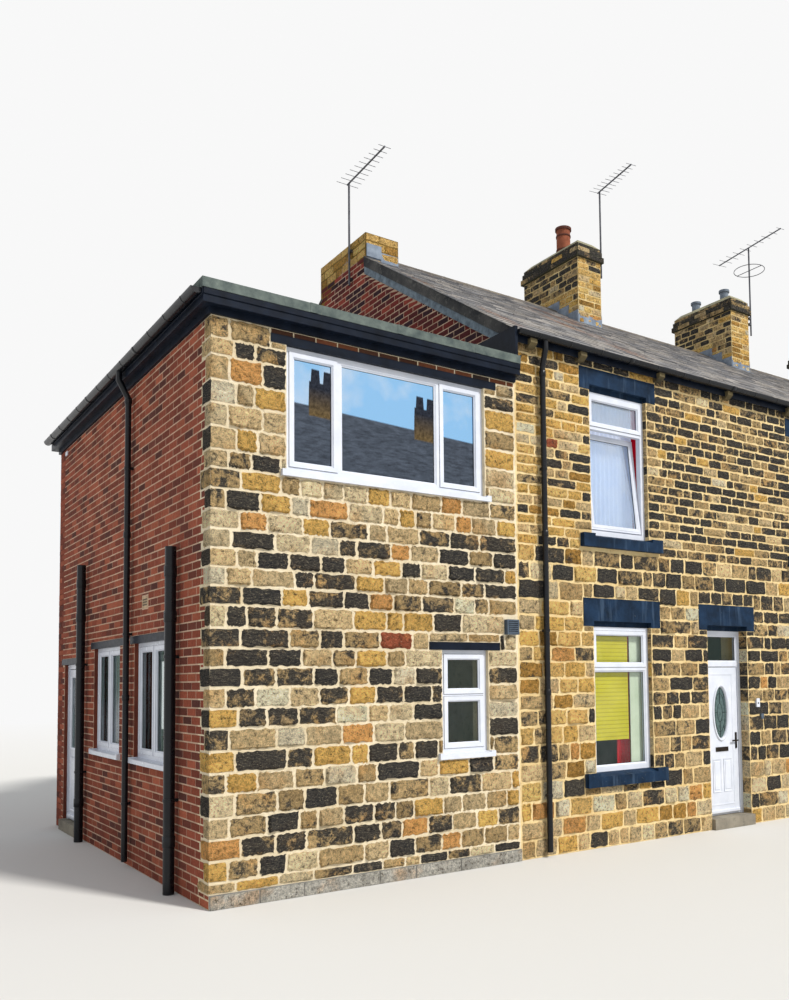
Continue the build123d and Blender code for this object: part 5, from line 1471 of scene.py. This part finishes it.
def make_front_door():
    """The front leaf's mouldings, and the lead lines of its oval light."""
    white, lead = Mesh(), Mesh()
    left, right = DOOR[0] + FRAME_WIDTH + LEAF_GAP, DOOR[1] - FRAME_WIDTH - LEAF_GAP
    face = FRONT.moved(-LEAF_FACE)
    rim = (left + DOOR_MOULDING, right - DOOR_MOULDING, *DOOR_MOULDING_Z)
    ring(white, face, rim, 0.018, 0, 0.006, 0.003)
    for rect in DOOR_PANELS:
        raised_panel(white, face, rect)
    oval_ring(white, face, OVAL, OVAL_RADII, 0.034, -0.001, 0.014)
    oval_ring(white, face, OVAL, [r - 0.008 for r in OVAL_RADII], 0.009, -OVAL_GLASS_FACE, 0.004)
    weather_bar(white, face, left + WEATHER_BAR_GAP, right - WEATHER_BAR_GAP)
    lead_lines(lead, face)
    white.build("front_door_mouldings", WHITE_PLASTIC, "white_plastic", "front_door_leaf")
    lead.build("front_door_cames", GASKET, "black_plastic", "front_door_leaf")


def make_side_door():
    """The side leaf's mouldings: round its light, under it and at its foot."""
    mesh = Mesh()
    near, far = SIDE_DOOR[0] + FRAME_WIDTH + LEAF_GAP, SIDE_DOOR[1] - FRAME_WIDTH - LEAF_GAP
    face = SIDE.moved(-SIDE_LEAF_FACE)
    light = (near + SIDE_LIGHT_MARGIN, far - SIDE_LIGHT_MARGIN, SIDE_LIGHT_Z,
             SIDE_DOOR[3] - FRAME_WIDTH - SIDE_LIGHT_MARGIN)
    ring(mesh, face, grown(light, 0.012), 0.024, -0.018, 0.006, 0.008)
    raised_panel(mesh, face, (light[0], light[1], *SIDE_PANEL))
    weather_bar(mesh, face, near + WEATHER_BAR_GAP, far - WEATHER_BAR_GAP)
    mesh.build("side_door_mouldings", WHITE_PLASTIC, "white_plastic", "side_door_leaf")


def make_fixed_doors():
    """Four moulded panels on each door that doesn't open."""
    mesh = Mesh()
    walls = [(BACK, shift) for shift in SHIFTS] + [(FRONT, shift) for shift in SHIFTS[1:]]
    for wall, shift in walls:
        face = wall.moved(-LEAF_FACE)
        middle = (DOOR[0] + DOOR[1]) / 2 + shift
        for side in (-1, 1):
            a, b = sorted(middle + side * x for x in FIXED_PANEL_SIDES)
            for low, high in FIXED_PANELS:
                raised_panel(mesh, face, (a, b, low, high))
        weather_bar(mesh, face, middle - FIXED_BAR_HALF, middle + FIXED_BAR_HALF)
    mesh.build("fixed_door_mouldings", WHITE_PLASTIC, "white_plastic")


# Cloth
def hang_cloth(name, material, slot, node, hole, span, y, pleats, depth, reveal=0.0):
    """A cloth that hangs in folds from its top edge. Its flat width is the length of its folds.

    Its last part, as wide as reveal, turns towards the glass along the window's reveal.
    """
    left, right, low, high = span
    columns = pleats * FOLD_STEPS
    points = []
    for j in range(CLOTH_ROWS + 1):
        v = low + (high - low) * j / CLOTH_ROWS
        open_share = 1 - 0.35 * j / CLOTH_ROWS
        for i in range(columns + 1):
            along = (right - left + reveal) * i / columns
            u, past = min(left + along, right), max(0.0, left + along - right)
            turn = 2 * math.pi * pleats * i / columns + 0.35 * math.sin(3.1 * v + 2.3 * i / columns)
            points.append((u, v, -y + depth * (1 + math.sin(turn) * open_share) + past))
    mesh = Mesh()
    mesh.add(Face((hole[0], 0, hole[2]), (1, 0, 0)), points, grid_faces(columns, CLOTH_ROWS),
             smooth=True)
    piece = mesh.build(name, material, slot)
    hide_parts(node)


def make_cloths():
    """Blinds on the lower window's frame, and curtains gathered on rods in both windows."""
    upper, lower, _ = house_holes(0)
    for name, material, span in (("yellow_blind", YELLOW_CLOTH, YELLOW_BLIND),
                                 ("pale_blind", PALE_CLOTH, PALE_BLIND)):
        hang_cloth(name, material, "blind_cloth", "window_blinds", lower, span, BLIND_Y, 2, 0.001)
    for name, material, hole, span, y, pleats, reveal in (
            ("red_lower_curtain", RED_CLOTH, lower, RED_LOWER_CURTAIN, CURTAIN_Y, 4, 0),
            ("net_curtain", NET, upper, NET_CURTAIN, CURTAIN_Y, 13, 0.05),
            ("red_upper_curtain", RED_CLOTH, upper, RED_UPPER_CURTAIN, BACK_CURTAIN_Y, 4, 0.19)):
        hang_cloth(name, material, "curtain_cloth", "curtains", hole, span, y, pleats, 0.014,
                   reveal)


# Fittings
def strap_width(n):
    """Most bands on a gutter are straps, and every fourth is a wider joint."""
    return STRAP_WIDTH if (n + 1) % JOINT_EVERY else JOINT_WIDTH


def make_pipe_fittings():
    """Sockets on the pipes, and straps and joints on the gutters."""
    mesh = Mesh()
    gap = PIPE_GAP + PIPE_RADIUS
    pipes = [(-gap, SIDE_PIPE_Y, PIPE_RADIUS, z) for z in SIDE_PIPE_SOCKETS]
    pipes += [(FRONT_PIPE_X, -gap, PIPE_RADIUS, z) for z in FRONT_PIPE_SOCKETS]
    for y, top in SOIL_PIPES:
        levels = [SOIL_SOCKET_FOOT] + [top - under for under in SOIL_SOCKETS_UNDER_TOP]
        pipes += [(-PIPE_GAP - SOIL_RADIUS, y, SOIL_RADIUS, z) for z in levels]
    for x, y, radius, z in pipes:
        hoop(mesh, (x, y, z), (x, y, z + radius * 2), radius + SOCKET_PROUD)
    band = GUTTER_RADIUS + STRAP_PROUD
    first = EXT_WIDTH + STRAP_STEP / 2
    for n in range(math.ceil((ROW_END - first) / STRAP_STEP)):
        x = first + n * STRAP_STEP
        wide = strap_width(n)
        radius = band + STRAP_PROUD if wide == JOINT_WIDTH else band
        for y in (GUTTER_Y, HOUSE_DEPTH - GUTTER_Y):
            hoop(mesh, (x, y, GUTTER_Z), (x + wide, y, GUTTER_Z), radius, sweep=math.pi)
    x, z = EXT_GUTTER
    for n in range(EXT_STRAPS):
        y = 0.2 + n * EXT_STRAP_STEP
        hoop(mesh, (x, y, z), (x, y + strap_width(n), z), band, sweep=math.pi)
    mesh.build("pipe_fittings", BLACK_PLASTIC, "black_plastic")


def make_wall_fittings():
    """Louvres on the vent box, a bell push, the air brick and a small plate on the side wall."""
    grey, dark, clay, white = Mesh(), Mesh(), Mesh(), Mesh()
    face = FRONT.moved(VENT_PROUD)
    a, b, c, d = grown(VENT_BOX, -0.018)
    pitch = (d - c) / VENT_SLATS
    slab(dark, face, (a, b, c, d), 0, 0.0015, bevel=0.0005)
    for n in range(VENT_SLATS):
        slab(grey, face, (a, b, c + n * pitch, c + (n + 0.62) * pitch), 0, 0.008, bevel=0.003)
    slab(clay, SIDE, grown(AIR_BRICK, -0.008), -0.006, 0.004)
    a, b, c, d = grown(AIR_BRICK, -0.03)
    columns, rows = AIR_BRICK_HOLES
    for i in range(columns):
        for j in range(rows):
            u, v = a + (b - a) * (i + 0.5) / columns, c + (d - c) * (j + 0.5) / rows
            slab(dark, SIDE, grown((u, u, v, v), AIR_BRICK_HOLE), 0, 0.005, bevel=0.0005)
    slab(dark, FRONT.moved(BELL_PROUD), BELL_BUTTON, 0, 0.004, bevel=0.001)
    slab(white, SIDE, SIDE_PLATE, 0, 0.016, bevel=0.003)
    grey.build("vent_louvres", GREY_PLASTIC, "black_plastic")
    dark.build("wall_fitting_holes", GASKET, "black_plastic")
    clay.build("air_brick", CREAM_CLAY, "clay")
    white.build("side_wall_plate", WHITE_PLASTIC, "white_plastic")


def make_roof_edge():
    """Overlaps in the felt that dresses the flat roof's kerb, and a step in its boards."""
    felt, navy = Mesh(), Mesh()
    for wall, length in ((FRONT, EXT_WIDTH), (SIDE, EXT_DEPTH)):
        face = wall.moved(KERB_PROUD)
        for n in range(1, int(length) + 1):
            slab(felt, face, (n - 0.05, n + 0.03, DECK_TOP, KERB_TOP + 0.003), -0.11, 0.003)
        step = (-0.115, length, DECK_TOP - 0.06, DECK_TOP - 0.002)
        slab(navy, wall.moved(KERB_PROUD - 0.015), step, 0, 0.01)
    felt.build("felt_overlaps", FELT, "roof_felt")
    navy.build("fascia_steps", NAVY, "painted_timber")


# Camera, light and background
def add_camera():
    data = bpy.data.cameras.new("photo_camera")
    data.sensor_width = 36
    data.lens = CAMERA_LENS
    data.shift_x, data.shift_y = CAMERA_SHIFT
    data.clip_end = 500
    camera = bpy.data.objects.new("photo_camera", data)
    bpy.context.scene.collection.objects.link(camera)
    forward = Vector((math.sin(CAMERA_YAW) * math.cos(CAMERA_PITCH),
                      math.cos(CAMERA_YAW) * math.cos(CAMERA_PITCH), math.sin(CAMERA_PITCH)))
    right = Vector((math.cos(CAMERA_YAW), -math.sin(CAMERA_YAW), 0))
    up = right.cross(forward)
    turn = (math.cos(CAMERA_ROLL), math.sin(CAMERA_ROLL))
    right, up = right * turn[0] + up * turn[1], up * turn[0] - right * turn[1]
    place = Vector(CAMERA_PLACE) + Vector((CORNER.x, CORNER.y, 0))
    axes = Matrix((right, up, -forward)).transposed().to_4x4()
    camera.matrix_world = Matrix.Translation(place) @ axes
    bpy.context.scene.camera = camera


def add_light():
    """A wide sun from the front and a soft world. Camera and mirrors see a pale backdrop."""
    sun = bpy.data.lights.new("key", "SUN")
    sun.energy = SUN_STRENGTH
    sun.angle = SUN_WIDTH
    sun.color = SUN_COLOUR
    lamp = bpy.data.objects.new("key", sun)
    lamp.rotation_euler = Vector(SUN_FROM).to_track_quat("Z", "Y").to_euler()
    bpy.context.scene.collection.objects.link(lamp)
    world = bpy.data.worlds.new("studio")
    world.use_nodes = True
    bpy.context.scene.world = world
    w = Nodes(world.node_tree)
    lit = w.tree.nodes["Background"]
    w.fill(lit, {"Color": SKY_COLOUR, "Strength": WORLD_LIGHT})
    seen = w.node("Background", Color=(BACKDROP, BACKDROP, BACKDROP, 1))
    rays = w.node("LightPath").outputs
    mirrored = w.maths("MAXIMUM", rays["Is Glossy Ray"], rays["Is Transmission Ray"])
    w.blend(w.maths("MAXIMUM", rays["Is Camera Ray"], mirrored), lit, seen, "World Output")


def add_floor():
    """A pale floor that keeps the building's shadow and fades into the backdrop."""
    m = Maker("studio_floor")
    m.set(Base_Color=(212, 211, 208), Roughness=0.9)
    reach = m.node("VectorMath")
    reach.operation = "LENGTH"
    m.put(reach.inputs[0], m.coords)
    glow = m.node("Emission", Color=(BACKDROP, BACKDROP, BACKDROP, 1))
    m.blend(m.level(reach.outputs["Value"], *FLOOR_FADE), m.shader, glow)
    data = bpy.data.meshes.new("studio_floor")
    size = (-FLOOR_REACH, FLOOR_REACH, -FLOOR_REACH, FLOOR_REACH)
    data.from_pydata([(x, y, 0) for x, y in corners(size)], [], [(0, 1, 2, 3)])
    data.materials.append(m.material)
    floor = bpy.data.objects.new("studio_floor", data)
    floor.location.z = -0.002
    bpy.context.scene.collection.objects.link(floor)


def main():
    bpy.context.scene.view_settings.view_transform = "Standard"
    add_camera()
    dress_nodes()
    for make in (make_extension_walls, make_house_walls, make_brick_walls, make_chimneys,
                 make_stack_leads, make_pot_bands, make_slates, make_ridge_joints,
                 make_window_details, make_front_door, make_side_door, make_fixed_doors,
                 make_cloths, make_pipe_fittings, make_wall_fittings, make_roof_edge):
        make()
    add_light()
    add_floor()


main()
